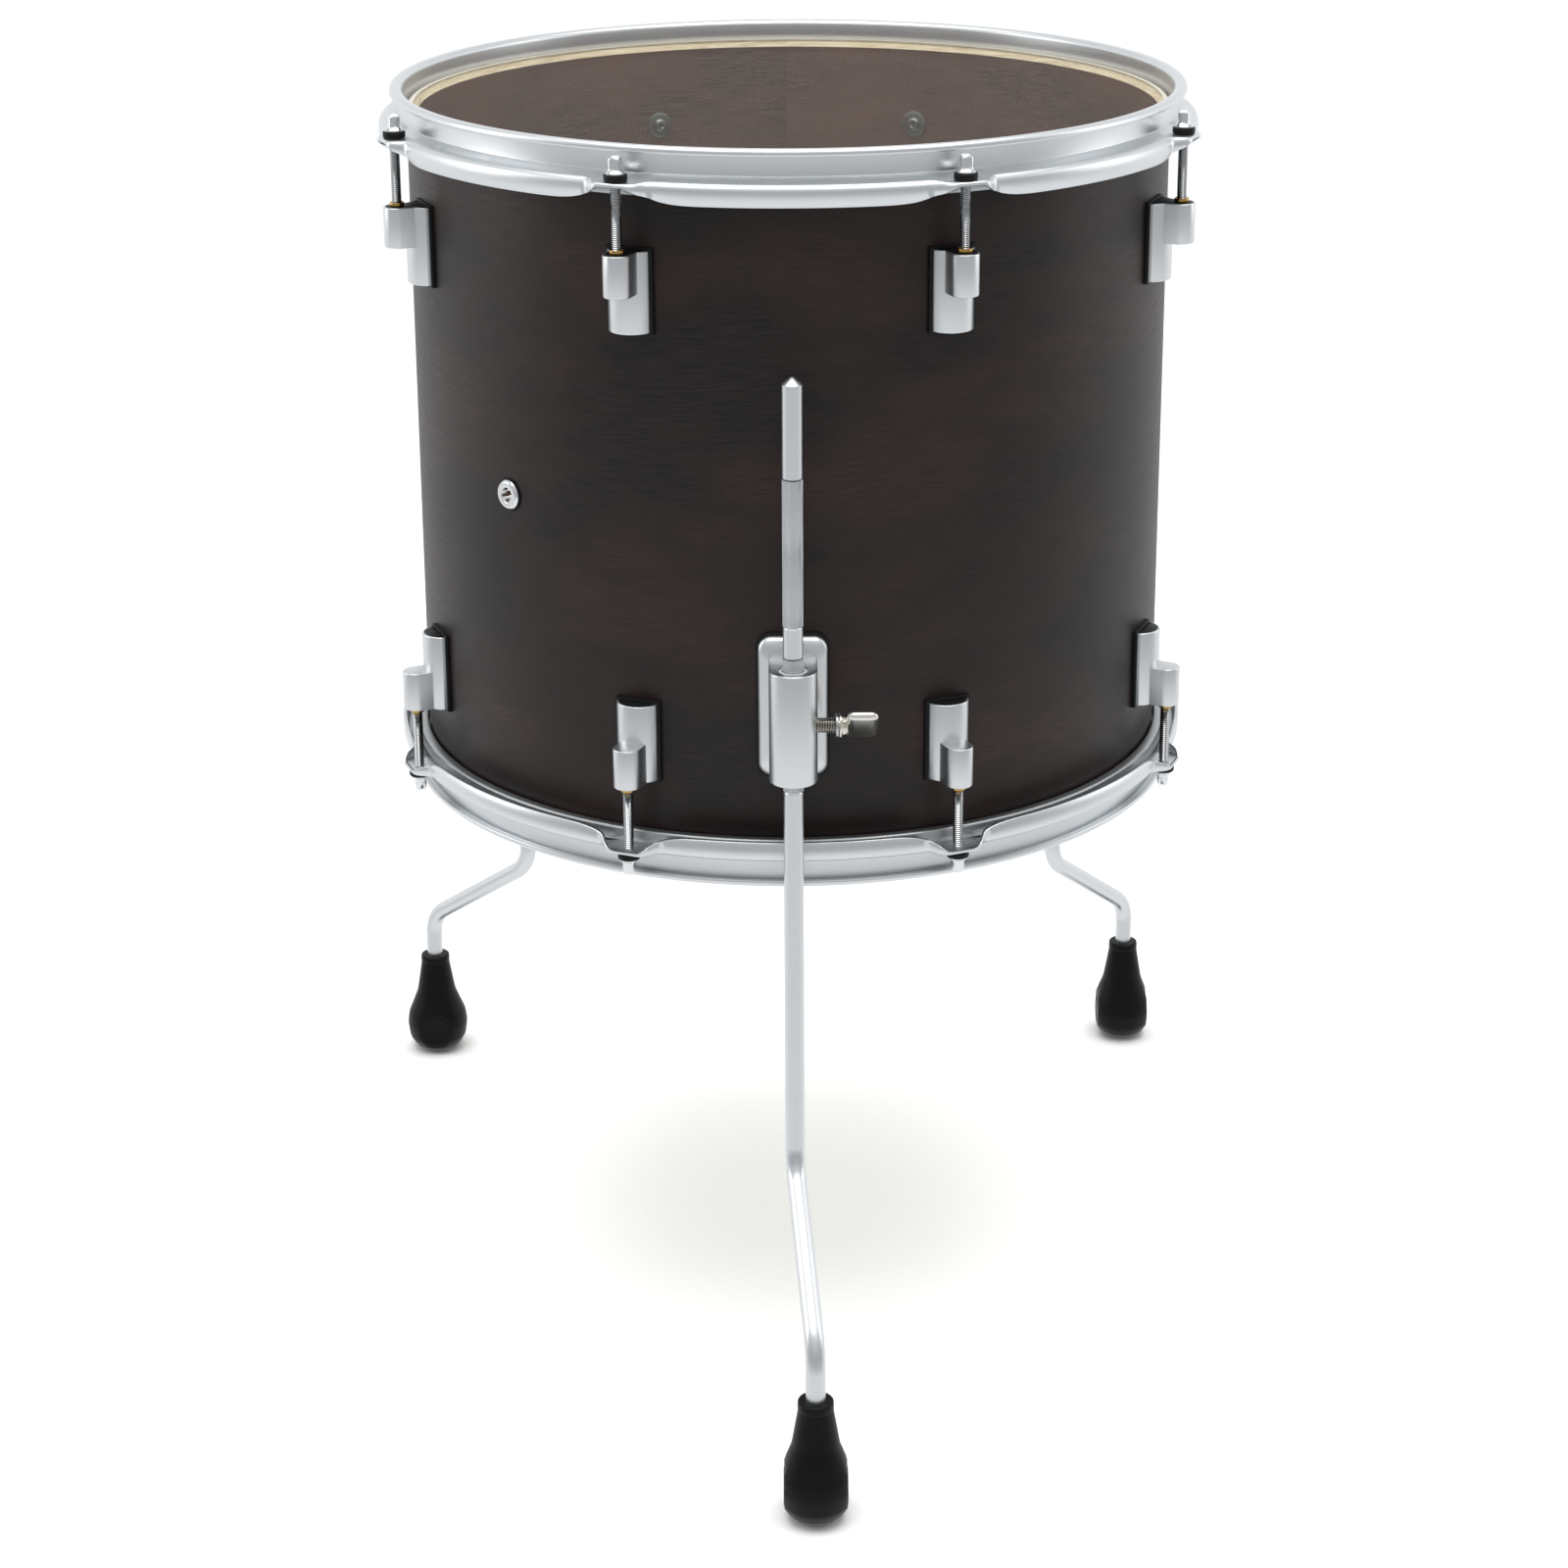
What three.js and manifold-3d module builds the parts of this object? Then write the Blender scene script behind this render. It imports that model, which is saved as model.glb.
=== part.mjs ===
// A floor tom: a sixteen by fourteen inch wooden shell with a tensioned head at each end, on three
// adjustable legs. Millimetres, +Z up, standing on the plane z = 0. An azimuth is measured about the
// drum's axis from the front of the drum (-Y), and is positive towards +X.
import * as THREE from "three";
import { mergeVertices } from "three/addons/utils/BufferGeometryUtils.js";
import Module from "manifold-3d";

// Driving dimensions
const LUGS_PER_HEAD = 8;
const ROUND_SEGMENTS = 48; // round the shell, the hoops and the heads
const MID_HEIGHT = 485; // the middle of the shell, above the floor

const SHELL = {
  radius: 203.2,
  depth: 355.6,
  wall: 6,
  edgeRound: 2, // how far in the rounded edge reaches, in three steps
  edgeFlat: 0.8,
  edgeShoulder: 1, // depths below the edge
  edgeSide: 3,
  edgeBevel: 3.2,
};
const HOOP = {
  aboveEdge: 11.2, // from the shell's bearing edge to the rim
  rim: 211.7, // radii
  wallOuter: 207.3,
  skirt: 218,
  sheet: 2.3, // thickness of the steel
  flange: 13.3, // depths below the rim
  fold: 18.3,
  skirtEnd: 27,
};
const EAR = { top: 16.5, thickness: 2.5, reach: 225.2, rootHalf: 20, tipHalf: 8.5, holeRadius: 3.2 };
const NOTCH = { topHalf: 10, bottomHalf: 38 };
const HEAD = { film: 0.5, edgeGap: 0.3, collarOuter: 204.4, collarInner: 203.9, collarEnd: 16.6 };
const FLESH_HOOP = { inner: 203.7, outer: 209.3, top: 16.9, bottom: 25 };
const ROD = { circle: 218.4, radius: 2.7, end: 69, post: 3, flange: 4.9, washer: 5.8, washerHeight: 3.1 };
const LUG = {
  fromMiddle: 137, // from the middle of the shell to the end that takes the rod
  height: 41,
  baseHalf: 10.9,
  back: 203.9,
  shoulder: 206.5,
  front: 213.8,
  tubeRadius: 7.2,
  tubeHeight: 21,
  boreRadius: 3.1,
  boreDepth: 20,
};
const VENT = { azimuth: -45, outer: 7.9, hole: 3.8, neck: 5.2, lip: 1.6 };

const LEG_AZIMUTHS = { front: 0, right: 135, left: -135 };
const FOOT_FLATS = { front: 90, right: 90, left: 0 }; // azimuth that a foot's flat sides face
const SWIVEL = 6.2; // each leg is turned this far in its bracket
const BRACKET = {
  middle: 392,
  axis: 233, // radius of the leg's axis
  plateHalf: 17.5,
  plateHeight: 74.3,
  plateBack: 203.8,
  plateEdge: 206.5,
  plateFront: 210.5,
  corner: 7,
  tubeRadius: 12,
  tubeHeight: 58,
  boreRadius: 7.5,
};
const BUSH = { outer: 7.2, inner: 5.3 };
const LEG = {
  radius: 5,
  top: 565.5, // heights above the floor
  upperBend: 151,
  lowerBend: 93,
  end: 24,
  tip: 3.5,
  tipRadius: 1.2,
  offset: 86, // from the upper part's axis to the foot's
  bendRadius: 22,
};
const FOOT = { height: 66, socketRadius: 5.3, socketFloor: 23.6, flatHalf: 16.2 };
const FOOT_PROFILE = [
  [0, 0],
  [8, 0],
  [14.5, 3.2],
  [18.2, 9.5],
  [19.3, 18.5],
  [18.4, 25.5],
  [15.4, 32.7],
  [12.3, 40.7],
  [9.4, 58],
  [8.9, 65],
  [8.2, FOOT.height],
  [0, FOOT.height],
];
const WING = {
  start: 7.8, // distances out from the leg's axis
  seat: 22.7,
  hubEnd: 26.3,
  end: 41.7,
  radius: 4,
  flange: 6.4,
  hub: 5.2,
  half: 14.5,
  corner: 3,
  thickness: 6,
  turn: 49,
};
const LOCK_WASHER = { start: 20.9, end: 22.4, inner: 4.3, outer: 6 };
const CROSS_HOLE = 4.3;

const HALF_TURN = Math.PI;
const radians = THREE.MathUtils.degToRad;
const wasm = await Module();
wasm.setup();

// Materials
function finish(color, roughness, metalness) {
  return new THREE.MeshStandardMaterial({ color, roughness, metalness });
}
const MATERIALS = {
  stainedWood: finish("#2b2220", 0.5, 0),
  satinChrome: finish("#c9cccf", 0.35, 1),
  brightChrome: finish("#d8dadb", 0.12, 1),
  aluminium: finish("#c4c5c2", 0.3, 1),
  clearFilm: finish("#e9e6df", 0.1, 0),
  springSteel: finish("#b9b2a4", 0.3, 1),
  nylon: finish("#d9d8d2", 0.5, 0),
  rubber: finish("#1b1c18", 0.6, 0),
};

// Geometry helpers. A profile is a closed loop of [radius, height] points.
function solid(geometry) {
  const bare = geometry.index ? geometry.toNonIndexed() : geometry.clone();
  bare.deleteAttribute("normal");
  bare.deleteAttribute("uv");
  const merged = mergeVertices(bare, 1e-3);
  return new wasm.Manifold(
    new wasm.Mesh({
      numProp: 3,
      vertProperties: merged.attributes.position.array,
      triVerts: new Uint32Array(merged.index.array),
    }),
  );
}

function geometryOf(shape) {
  const mesh = shape.getMesh();
  const geometry = new THREE.BufferGeometry();
  geometry.setAttribute("position", new THREE.BufferAttribute(mesh.vertProperties, 3));
  geometry.setIndex(new THREE.BufferAttribute(mesh.triVerts, 1));
  geometry.computeVertexNormals();
  return geometry;
}

function turned(profile, segments) {
  const points = profile.map(([radius, height]) => new THREE.Vector2(radius, height));
  return new THREE.LatheGeometry(points, segments).rotateX(HALF_TURN / 2);
}

function extruded(shape, depth, curveSegments = 8) {
  return new THREE.ExtrudeGeometry(shape, { depth, bevelEnabled: false, curveSegments });
}

// A round bar along +Z between two heights, centred on (x, y).
function bar(radius, low, high, x = 0, y = 0, segments = 16) {
  return new THREE.CylinderGeometry(radius, radius, high - low, segments)
    .rotateX(HALF_TURN / 2)
    .translate(x, y, (low + high) / 2);
}

// A round bar along +X between two places, at the height z.
function crossBar(radius, near, far, y, z, segments = 16) {
  return new THREE.CylinderGeometry(radius, radius, far - near, segments)
    .rotateZ(-HALF_TURN / 2)
    .translate((near + far) / 2, y, z);
}

function roundedRectangle(halfWidth, halfHeight, corner) {
  const shape = new THREE.Shape();
  shape.absarc(halfWidth - corner, halfHeight - corner, corner, 0, HALF_TURN / 2);
  shape.absarc(corner - halfWidth, halfHeight - corner, corner, HALF_TURN / 2, HALF_TURN);
  shape.absarc(corner - halfWidth, corner - halfHeight, corner, HALF_TURN, 1.5 * HALF_TURN);
  shape.absarc(halfWidth - corner, corner - halfHeight, corner, 1.5 * HALF_TURN, 2 * HALF_TURN);
  return shape;
}

function piece(name, geometry, material) {
  const mesh = new THREE.Mesh(geometry, material);
  mesh.name = name;
  return mesh;
}

function atAzimuth(degrees, ...children) {
  const group = new THREE.Group();
  group.rotation.z = radians(degrees);
  if (children.length) group.add(...children);
  return group;
}

// The shell: a plywood cylinder, its two bearing edges rounded outside and bevelled inside.
function shellGeometry() {
  const half = SHELL.depth / 2;
  const inner = SHELL.radius - SHELL.wall;
  const edge = [
    [SHELL.radius, half - SHELL.edgeSide],
    [SHELL.radius - SHELL.edgeFlat, half - SHELL.edgeShoulder],
    [SHELL.radius - SHELL.edgeRound, half],
    [inner + SHELL.edgeBevel, half],
    [inner, half - SHELL.edgeBevel],
  ];
  const lowerEdge = edge.map(([radius, height]) => [radius, -height]).reverse();
  const tube = solid(turned([edge[4], ...lowerEdge, ...edge], ROUND_SEGMENTS));
  const hole = bar(VENT.neck + 0.3, inner - 8, SHELL.radius + 8).rotateX(HALF_TURN / 2);
  hole.rotateZ(radians(VENT.azimuth));
  return geometryOf(tube.subtract(solid(hole)));
}

// The vent's grommet: a tube through the wall with a wide lip outside.
function ventGeometry() {
  const profile = [
    [VENT.hole, SHELL.radius - SHELL.wall - 1],
    [VENT.neck, SHELL.radius - SHELL.wall - 1],
    [VENT.neck, SHELL.radius + 0.4],
    [VENT.outer, SHELL.radius + 0.4],
    [VENT.outer - 0.6, SHELL.radius + 0.4 + VENT.lip],
    [VENT.hole, SHELL.radius + 0.4 + VENT.lip],
    [VENT.hole, SHELL.radius - SHELL.wall - 1],
  ];
  return turned(profile, 12).rotateX(HALF_TURN / 2);
}

// A hoop of folded sheet steel, its rim at z = 0 and its skirt hanging below. At each rod the skirt is
// cut away and a flat ear stands out.
function hoopGeometry() {
  const inner = HOOP.wallOuter - HOOP.sheet;
  const profile = [
    [inner, 0],
    [inner, -HOOP.flange - 2.1],
    [HOOP.skirt - HOOP.sheet - 0.8, -HOOP.fold + 0.2],
    [HOOP.skirt - HOOP.sheet, -HOOP.fold - 0.7],
    [HOOP.skirt - HOOP.sheet, -HOOP.skirtEnd],
    [HOOP.skirt, -HOOP.skirtEnd],
    [HOOP.skirt, -HOOP.fold],
    [HOOP.skirt - 2, -HOOP.fold + 2.5],
    [HOOP.wallOuter, -HOOP.flange],
    [HOOP.wallOuter, -HOOP.sheet],
    [HOOP.rim, -HOOP.sheet],
    [HOOP.rim, 0],
    [inner, 0],
  ];
  let hoop = solid(turned(profile, ROUND_SEGMENTS));

  const earShape = new THREE.Shape();
  earShape.moveTo(-EAR.rootHalf, -HOOP.skirt + 6);
  earShape.lineTo(-EAR.tipHalf, -EAR.reach + 2.5);
  earShape.lineTo(-EAR.tipHalf + 2.5, -EAR.reach);
  earShape.lineTo(EAR.tipHalf - 2.5, -EAR.reach);
  earShape.lineTo(EAR.tipHalf, -EAR.reach + 2.5);
  earShape.lineTo(EAR.rootHalf, -HOOP.skirt + 6);
  const ear = extruded(earShape, EAR.thickness).translate(0, 0, -EAR.top - EAR.thickness);

  const notchDepth = HOOP.skirtEnd + 1 - EAR.top - EAR.thickness;
  const notchShape = new THREE.Shape();
  notchShape.moveTo(-NOTCH.topHalf, 0);
  notchShape.quadraticCurveTo(-NOTCH.topHalf - 9, -notchDepth * 0.72, -NOTCH.bottomHalf, -notchDepth);
  notchShape.lineTo(NOTCH.bottomHalf, -notchDepth);
  notchShape.quadraticCurveTo(NOTCH.topHalf + 9, -notchDepth * 0.72, NOTCH.topHalf, 0);
  const notch = extruded(notchShape, 24, 3)
    .rotateX(HALF_TURN / 2)
    .translate(0, -HOOP.skirt + 7, -EAR.top - EAR.thickness);

  const rodHole = bar(EAR.holeRadius, -HOOP.skirtEnd, -HOOP.flange, 0, -ROD.circle, 12);
  const washerSeat = bar(ROD.washer + 0.6, -EAR.top, -HOOP.sheet, 0, -ROD.circle, 12);
  for (const azimuth of rodAzimuths()) {
    const turn = (geometry) => solid(geometry.clone().rotateZ(radians(azimuth)));
    hoop = hoop.subtract(turn(notch)).add(turn(ear)).subtract(turn(rodHole)).subtract(turn(washerSeat));
  }
  return geometryOf(hoop);
}

// The head's film: flat over the bearing edge, then drawn down a short collar. The rim is at z = 0.
function filmGeometry() {
  const top = -HOOP.aboveEdge + HEAD.edgeGap + HEAD.film;
  const bottom = top - HEAD.film;
  const profile = [
    [0, bottom],
    [SHELL.radius - 1.3, bottom],
    [HEAD.collarInner, bottom - 3.1],
    [HEAD.collarInner, -HEAD.collarEnd],
    [HEAD.collarOuter, -HEAD.collarEnd],
    [HEAD.collarOuter, bottom - 2.9],
    [SHELL.radius - 0.9, top],
    [0, top],
  ];
  return turned(profile, ROUND_SEGMENTS);
}

// The aluminium flesh hoop that the film is crimped into.
function fleshHoopGeometry() {
  const profile = [
    [FLESH_HOOP.inner, -FLESH_HOOP.bottom],
    [FLESH_HOOP.outer, -FLESH_HOOP.bottom],
    [FLESH_HOOP.outer, -FLESH_HOOP.top],
    [FLESH_HOOP.inner, -FLESH_HOOP.top],
    [FLESH_HOOP.inner, -FLESH_HOOP.bottom],
  ];
  return turned(profile, ROUND_SEGMENTS);
}

// A tension rod with the washer under its head, standing on its ear, the rim at z = 0.
function rodGeometry() {
  const seat = -EAR.top + 0.3;
  const head = seat + ROD.washerHeight;
  const profile = [
    [0, -ROD.end],
    [ROD.radius, -ROD.end],
    [ROD.radius, seat],
    [ROD.washer, seat],
    [ROD.washer, head],
    [ROD.flange, head],
    [ROD.flange, head + 1.5],
    [ROD.post, head + 3],
    [ROD.post, head + 8],
    [0, head + 9.5],
  ];
  return turned(profile, 8).translate(0, -ROD.circle, 0);
}

// A lug: a D-shaped base on the shell and a round-nosed tube that takes the rod. The rod's end is at
// z = 0 and the lug reaches down from there.
function lugGeometry() {
  const rise = LUG.front - LUG.shoulder;
  const arcRadius = (LUG.baseHalf ** 2 + rise ** 2) / (2 * rise);
  const arcStart = Math.asin((LUG.shoulder - LUG.front + arcRadius) / arcRadius);
  const base = new THREE.Shape();
  base.moveTo(LUG.baseHalf, -LUG.back);
  base.lineTo(-LUG.baseHalf, -LUG.back);
  base.absarc(0, arcRadius - LUG.front, arcRadius, HALF_TURN + arcStart, 2 * HALF_TURN - arcStart);
  base.closePath();

  const tube = new THREE.Shape();
  tube.moveTo(LUG.tubeRadius, -LUG.shoulder);
  tube.lineTo(-LUG.tubeRadius, -LUG.shoulder);
  tube.absarc(0, -ROD.circle, LUG.tubeRadius, HALF_TURN, 2 * HALF_TURN);
  tube.closePath();

  const body = solid(extruded(base, LUG.height, 5).translate(0, 0, -LUG.height));
  const nose = solid(extruded(tube, LUG.tubeHeight, 6).translate(0, 0, -LUG.tubeHeight));
  const bore = solid(bar(LUG.boreRadius, -LUG.boreDepth, 1, 0, -ROD.circle, 10));
  return geometryOf(body.add(nose).subtract(bore));
}

// A leg's bracket: a curved plate on the shell and a round-nosed tube that the leg stands in.
function bracketGeometry() {
  const plan = new THREE.Shape();
  plan.moveTo(BRACKET.plateHalf, -BRACKET.plateBack);
  plan.lineTo(-BRACKET.plateHalf, -BRACKET.plateBack);
  plan.lineTo(-BRACKET.plateHalf, -BRACKET.plateEdge);
  const crown = 2 * BRACKET.plateFront - BRACKET.plateEdge;
  plan.quadraticCurveTo(0, -crown, BRACKET.plateHalf, -BRACKET.plateEdge);
  plan.closePath();
  const plate = solid(extruded(plan, BRACKET.plateHeight, 6).translate(0, 0, -BRACKET.plateHeight / 2));
  const outline = roundedRectangle(BRACKET.plateHalf + 0.1, BRACKET.plateHeight / 2, BRACKET.corner);
  const face = extruded(outline, 20, 3).rotateX(HALF_TURN / 2).translate(0, -BRACKET.plateBack + 5, 0);

  const tube = new THREE.Shape();
  tube.moveTo(BRACKET.tubeRadius, -BRACKET.plateEdge);
  tube.lineTo(-BRACKET.tubeRadius, -BRACKET.plateEdge);
  tube.absarc(0, -BRACKET.axis, BRACKET.tubeRadius, HALF_TURN, 2 * HALF_TURN);
  tube.closePath();
  const half = BRACKET.tubeHeight / 2;
  const nose = solid(extruded(tube, BRACKET.tubeHeight, 10).translate(0, 0, -half));
  const bore = solid(bar(BRACKET.boreRadius, -half - 1, half + 1, 0, -BRACKET.axis));
  const crossHole = solid(crossBar(CROSS_HOLE, 0, BRACKET.tubeRadius + 2, -BRACKET.axis, 0, 12));
  return geometryOf(plate.intersect(solid(face)).add(nose).subtract(bore).subtract(crossHole));
}

// The bush in the bracket that the wing bolt closes on the leg.
function bushGeometry() {
  const half = BRACKET.tubeHeight / 2 - 0.4;
  const profile = [
    [BUSH.inner, -half],
    [BUSH.outer, -half],
    [BUSH.outer, half],
    [BUSH.inner, half],
    [BUSH.inner, -half],
  ];
  return turned(profile, 16).translate(0, -BRACKET.axis, BRACKET.middle);
}

// A path through stations that the caller chooses, so that long straight runs take one step.
class StationPath extends THREE.Curve {
  constructor(points, tangents) {
    super();
    this.points = points;
    this.tangents = tangents;
  }
  station(fraction) {
    return Math.round(fraction * (this.points.length - 1));
  }
  getPointAt(fraction, target = new THREE.Vector3()) {
    return target.copy(this.points[this.station(fraction)]);
  }
  getTangentAt(fraction, target = new THREE.Vector3()) {
    return target.copy(this.tangents[this.station(fraction)]);
  }
}

// A leg: a straight upper part on its own axis, then two opposite bends that carry the foot outwards.
function legGeometry() {
  const slope = Math.atan2(LEG.upperBend - LEG.lowerBend, LEG.offset);
  const bend = HALF_TURN / 2 - slope;
  const cut = LEG.bendRadius * Math.tan(bend / 2);
  const bendSteps = 5;
  const points = [];
  const tangents = [];
  const station = (y, z, angle) => {
    points.push(new THREE.Vector3(0, y, z));
    tangents.push(new THREE.Vector3(0, -Math.sin(angle), -Math.cos(angle)));
  };
  station(0, LEG.top, 0);
  for (let i = 0; i <= bendSteps; i++) {
    const angle = (bend * i) / bendSteps;
    station(
      -LEG.bendRadius * (1 - Math.cos(angle)),
      LEG.upperBend + cut - LEG.bendRadius * Math.sin(angle),
      angle,
    );
  }
  for (let i = bendSteps; i >= 0; i--) {
    const angle = (bend * i) / bendSteps;
    station(
      -LEG.offset + LEG.bendRadius * (1 - Math.cos(angle)),
      LEG.lowerBend - cut + LEG.bendRadius * Math.sin(angle),
      angle,
    );
  }
  station(-LEG.offset, LEG.end, 0);

  const section = new THREE.Shape();
  section.absarc(0, 0, LEG.radius, 0, 2 * HALF_TURN);
  const rod = new THREE.ExtrudeGeometry(section, {
    steps: points.length - 1,
    curveSegments: 6,
    bevelEnabled: false,
    extrudePath: new StationPath(points, tangents),
  });
  const tip = new THREE.CylinderGeometry(LEG.tipRadius, LEG.radius - 0.3, LEG.tip + 0.5, 12)
    .rotateX(HALF_TURN / 2)
    .translate(0, 0, LEG.top + LEG.tip / 2 - 0.25);
  return geometryOf(solid(rod).add(solid(tip)));
}

// A rubber foot: a bulb with two flat sides, and a socket for the leg. Its axis is the Z axis.
function footGeometry() {
  const bulb = solid(turned(FOOT_PROFILE, 16));
  const slab = solid(new THREE.BoxGeometry(60, 2 * FOOT.flatHalf, 200));
  const socket = solid(bar(FOOT.socketRadius, FOOT.socketFloor, FOOT.height + 1, 0, 0, 12));
  return geometryOf(bulb.intersect(slab).subtract(socket));
}

// The wing bolt: a threaded shank, a round seat, and a thick rounded wing.
function wingBoltGeometry() {
  const shank = solid(crossBar(WING.radius, WING.start, WING.hubEnd, 0, 0, 12));
  const seat = solid(crossBar(WING.flange, WING.seat, WING.seat + 1, 0, 0));
  const hub = solid(crossBar(WING.hub, WING.seat + 0.5, WING.hubEnd + 4, 0, 0));
  const outline = roundedRectangle((WING.end - WING.hubEnd) / 2, WING.half, WING.corner);
  const wing = extruded(outline, WING.thickness, 3)
    .translate((WING.end + WING.hubEnd) / 2, 0, -WING.thickness / 2)
    .rotateX(radians(WING.turn - 90));
  return geometryOf(shank.add(seat).add(hub).add(solid(wing)));
}

// The split washer under the wing bolt's seat.
function lockWasherGeometry() {
  const profile = [
    [LOCK_WASHER.inner, LOCK_WASHER.start],
    [LOCK_WASHER.outer, LOCK_WASHER.start],
    [LOCK_WASHER.outer, LOCK_WASHER.end],
    [LOCK_WASHER.inner, LOCK_WASHER.end],
    [LOCK_WASHER.inner, LOCK_WASHER.start],
  ];
  return turned(profile, 12).rotateY(HALF_TURN / 2);
}

function rodAzimuths() {
  return Array.from({ length: LUGS_PER_HEAD }, (_, i) => (360 / LUGS_PER_HEAD) * (i + 0.5));
}

// One end of the drum, drawn as the upper end: rim at z = 0, everything else below it. The lower end is
// the same group turned over about the front-to-back axis, which reverses its azimuths.
function headEnd(side, turnedOver) {
  const end = new THREE.Group();
  end.add(
    piece(`${side}_hoop`, hoopGeometry(), MATERIALS.satinChrome),
    piece(`${side}_head`, filmGeometry(), MATERIALS.clearFilm),
    piece(`${side}_flesh_hoop`, fleshHoopGeometry(), MATERIALS.aluminium),
  );
  const lug = lugGeometry();
  const rod = rodGeometry();
  rodAzimuths().forEach((azimuth, i) => {
    const lugMesh = piece(`${side}_lug_${i + 1}`, lug, MATERIALS.satinChrome);
    lugMesh.position.z = LUG.fromMiddle - SHELL.depth / 2 - HOOP.aboveEdge;
    const rodMesh = piece(`${side}_rod_${i + 1}`, rod, MATERIALS.brightChrome);
    end.add(atAzimuth(turnedOver ? -azimuth : azimuth, lugMesh, rodMesh));
  });
  const rimHeight = SHELL.depth / 2 + HOOP.aboveEdge;
  end.position.z = MID_HEIGHT + (turnedOver ? -rimHeight : rimHeight);
  if (turnedOver) end.rotation.y = HALF_TURN;
  return end;
}

// A leg with its bracket, bush, foot, wing bolt and lock washer.
function legStation(side) {
  const azimuth = LEG_AZIMUTHS[side];
  const bracket = piece(`${side}_leg_bracket`, bracketGeometry(), MATERIALS.satinChrome);
  bracket.position.z = BRACKET.middle;
  const bush = piece(`${side}_leg_bush`, bushGeometry(), MATERIALS.nylon);

  const leg = piece(`${side}_leg`, legGeometry(), MATERIALS.satinChrome);
  const foot = piece(`${side}_foot`, footGeometry(), MATERIALS.rubber);
  foot.position.y = -LEG.offset;
  foot.rotation.z = radians(FOOT_FLATS[side] - azimuth - SWIVEL);
  const swivel = atAzimuth(SWIVEL, leg, foot);
  swivel.position.y = -BRACKET.axis;

  const bolt = piece(`${side}_wing_bolt`, wingBoltGeometry(), MATERIALS.brightChrome);
  bolt.position.set(0, -BRACKET.axis, BRACKET.middle);
  const washer = piece(`${side}_lock_washer`, lockWasherGeometry(), MATERIALS.springSteel);
  washer.position.copy(bolt.position);
  return atAzimuth(azimuth, bracket, bush, swivel, bolt, washer);
}

// The drum about its own axis
const drum = new THREE.Group();
const shell = piece("shell", shellGeometry(), MATERIALS.stainedWood);
shell.position.z = MID_HEIGHT;
const vent = piece("vent_grommet", ventGeometry(), MATERIALS.brightChrome);
vent.position.z = MID_HEIGHT;
vent.rotation.z = radians(VENT.azimuth);
drum.add(shell, vent, headEnd("batter", false), headEnd("resonant", true));
for (const side of Object.keys(LEG_AZIMUTHS)) drum.add(legStation(side));

// The part's origin is on the floor, under the middle of the whole drum's bounding box.
const bounds = new THREE.Box3().setFromObject(drum, true);
drum.position.x = -(bounds.min.x + bounds.max.x) / 2;
drum.position.y = -(bounds.min.y + bounds.max.y) / 2;
const part = new THREE.Group();
part.add(drum);

export default part;
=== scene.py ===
"""A 16 by 14 inch floor tom on three legs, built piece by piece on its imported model.

Sizes are in millimetres until a mesh is made, and azimuths in degrees: 0 faces the front of
the drum and 90 its right side. Heights are measured from the shell's middle, those of the wing
bolts and brackets from the brackets' middle, and those of the legs and feet from the floor.
"""
import math

import bmesh
import bpy
import numpy as np
from mathutils import Matrix, Vector


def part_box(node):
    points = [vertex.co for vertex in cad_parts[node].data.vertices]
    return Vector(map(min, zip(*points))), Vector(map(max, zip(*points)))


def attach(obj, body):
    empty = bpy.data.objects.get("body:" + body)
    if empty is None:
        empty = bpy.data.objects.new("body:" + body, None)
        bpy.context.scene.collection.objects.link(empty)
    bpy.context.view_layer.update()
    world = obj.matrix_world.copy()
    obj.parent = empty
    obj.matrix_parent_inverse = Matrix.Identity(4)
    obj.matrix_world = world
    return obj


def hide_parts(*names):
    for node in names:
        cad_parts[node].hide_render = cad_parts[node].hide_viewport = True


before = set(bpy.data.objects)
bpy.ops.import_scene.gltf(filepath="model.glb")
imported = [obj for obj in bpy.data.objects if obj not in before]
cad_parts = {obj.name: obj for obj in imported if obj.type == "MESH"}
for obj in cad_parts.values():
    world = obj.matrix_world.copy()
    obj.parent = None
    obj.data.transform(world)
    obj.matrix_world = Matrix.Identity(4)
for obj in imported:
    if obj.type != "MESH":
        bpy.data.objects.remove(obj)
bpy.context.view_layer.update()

# --- Shell ---------------------------------------------------------------------------------
# Maple plies glued up as a tube and cut with a bearing edge at each end. The outside is
# stained espresso and lacquered satin, the inside is stained thinly, and the edges are bare.
MM = 0.001
shell_low, shell_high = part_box("shell")
AXIS_X, AXIS_Y, MIDDLE = (shell_low + shell_high) / 2 / MM
SHELL_RADIUS = (shell_high.x - shell_low.x) / 2 / MM
SHELL_HALF = (shell_high.z - shell_low.z) / 2 / MM
SHELL_WALL = 6.0
EDGE_ROUND, EDGE_FLAT, EDGE_BEVEL = 2.0, 0.8, 3.2
# The wall has a row of corners this far above and below its middle, clear of the vent's bore
VENT_ROW = 9.0
VENT_AZIMUTH, VENT_BORE = -45, 5.2
BORE_START, BORE_END = 180, 220


def linear(code):
    """An sRGB hex colour as linear red, green, blue and alpha."""
    parts = [int(code[i : i + 2], 16) / 255 for i in (1, 3, 5)]
    return [c / 12.92 if c <= 0.04045 else ((c + 0.055) / 1.055) ** 2.4 for c in parts] + [1.0]


def add_node(tree, kind, inputs=None, **settings):
    """A node with its settings, and each input given as a value or as the output that feeds it."""
    made = tree.nodes.new(kind)
    for name, value in settings.items():
        setattr(made, name, value)
    for name, value in (inputs or {}).items():
        if isinstance(value, bpy.types.NodeSocket):
            tree.links.new(value, made.inputs[name])
        else:
            made.inputs[name].default_value = value
    return made


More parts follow.
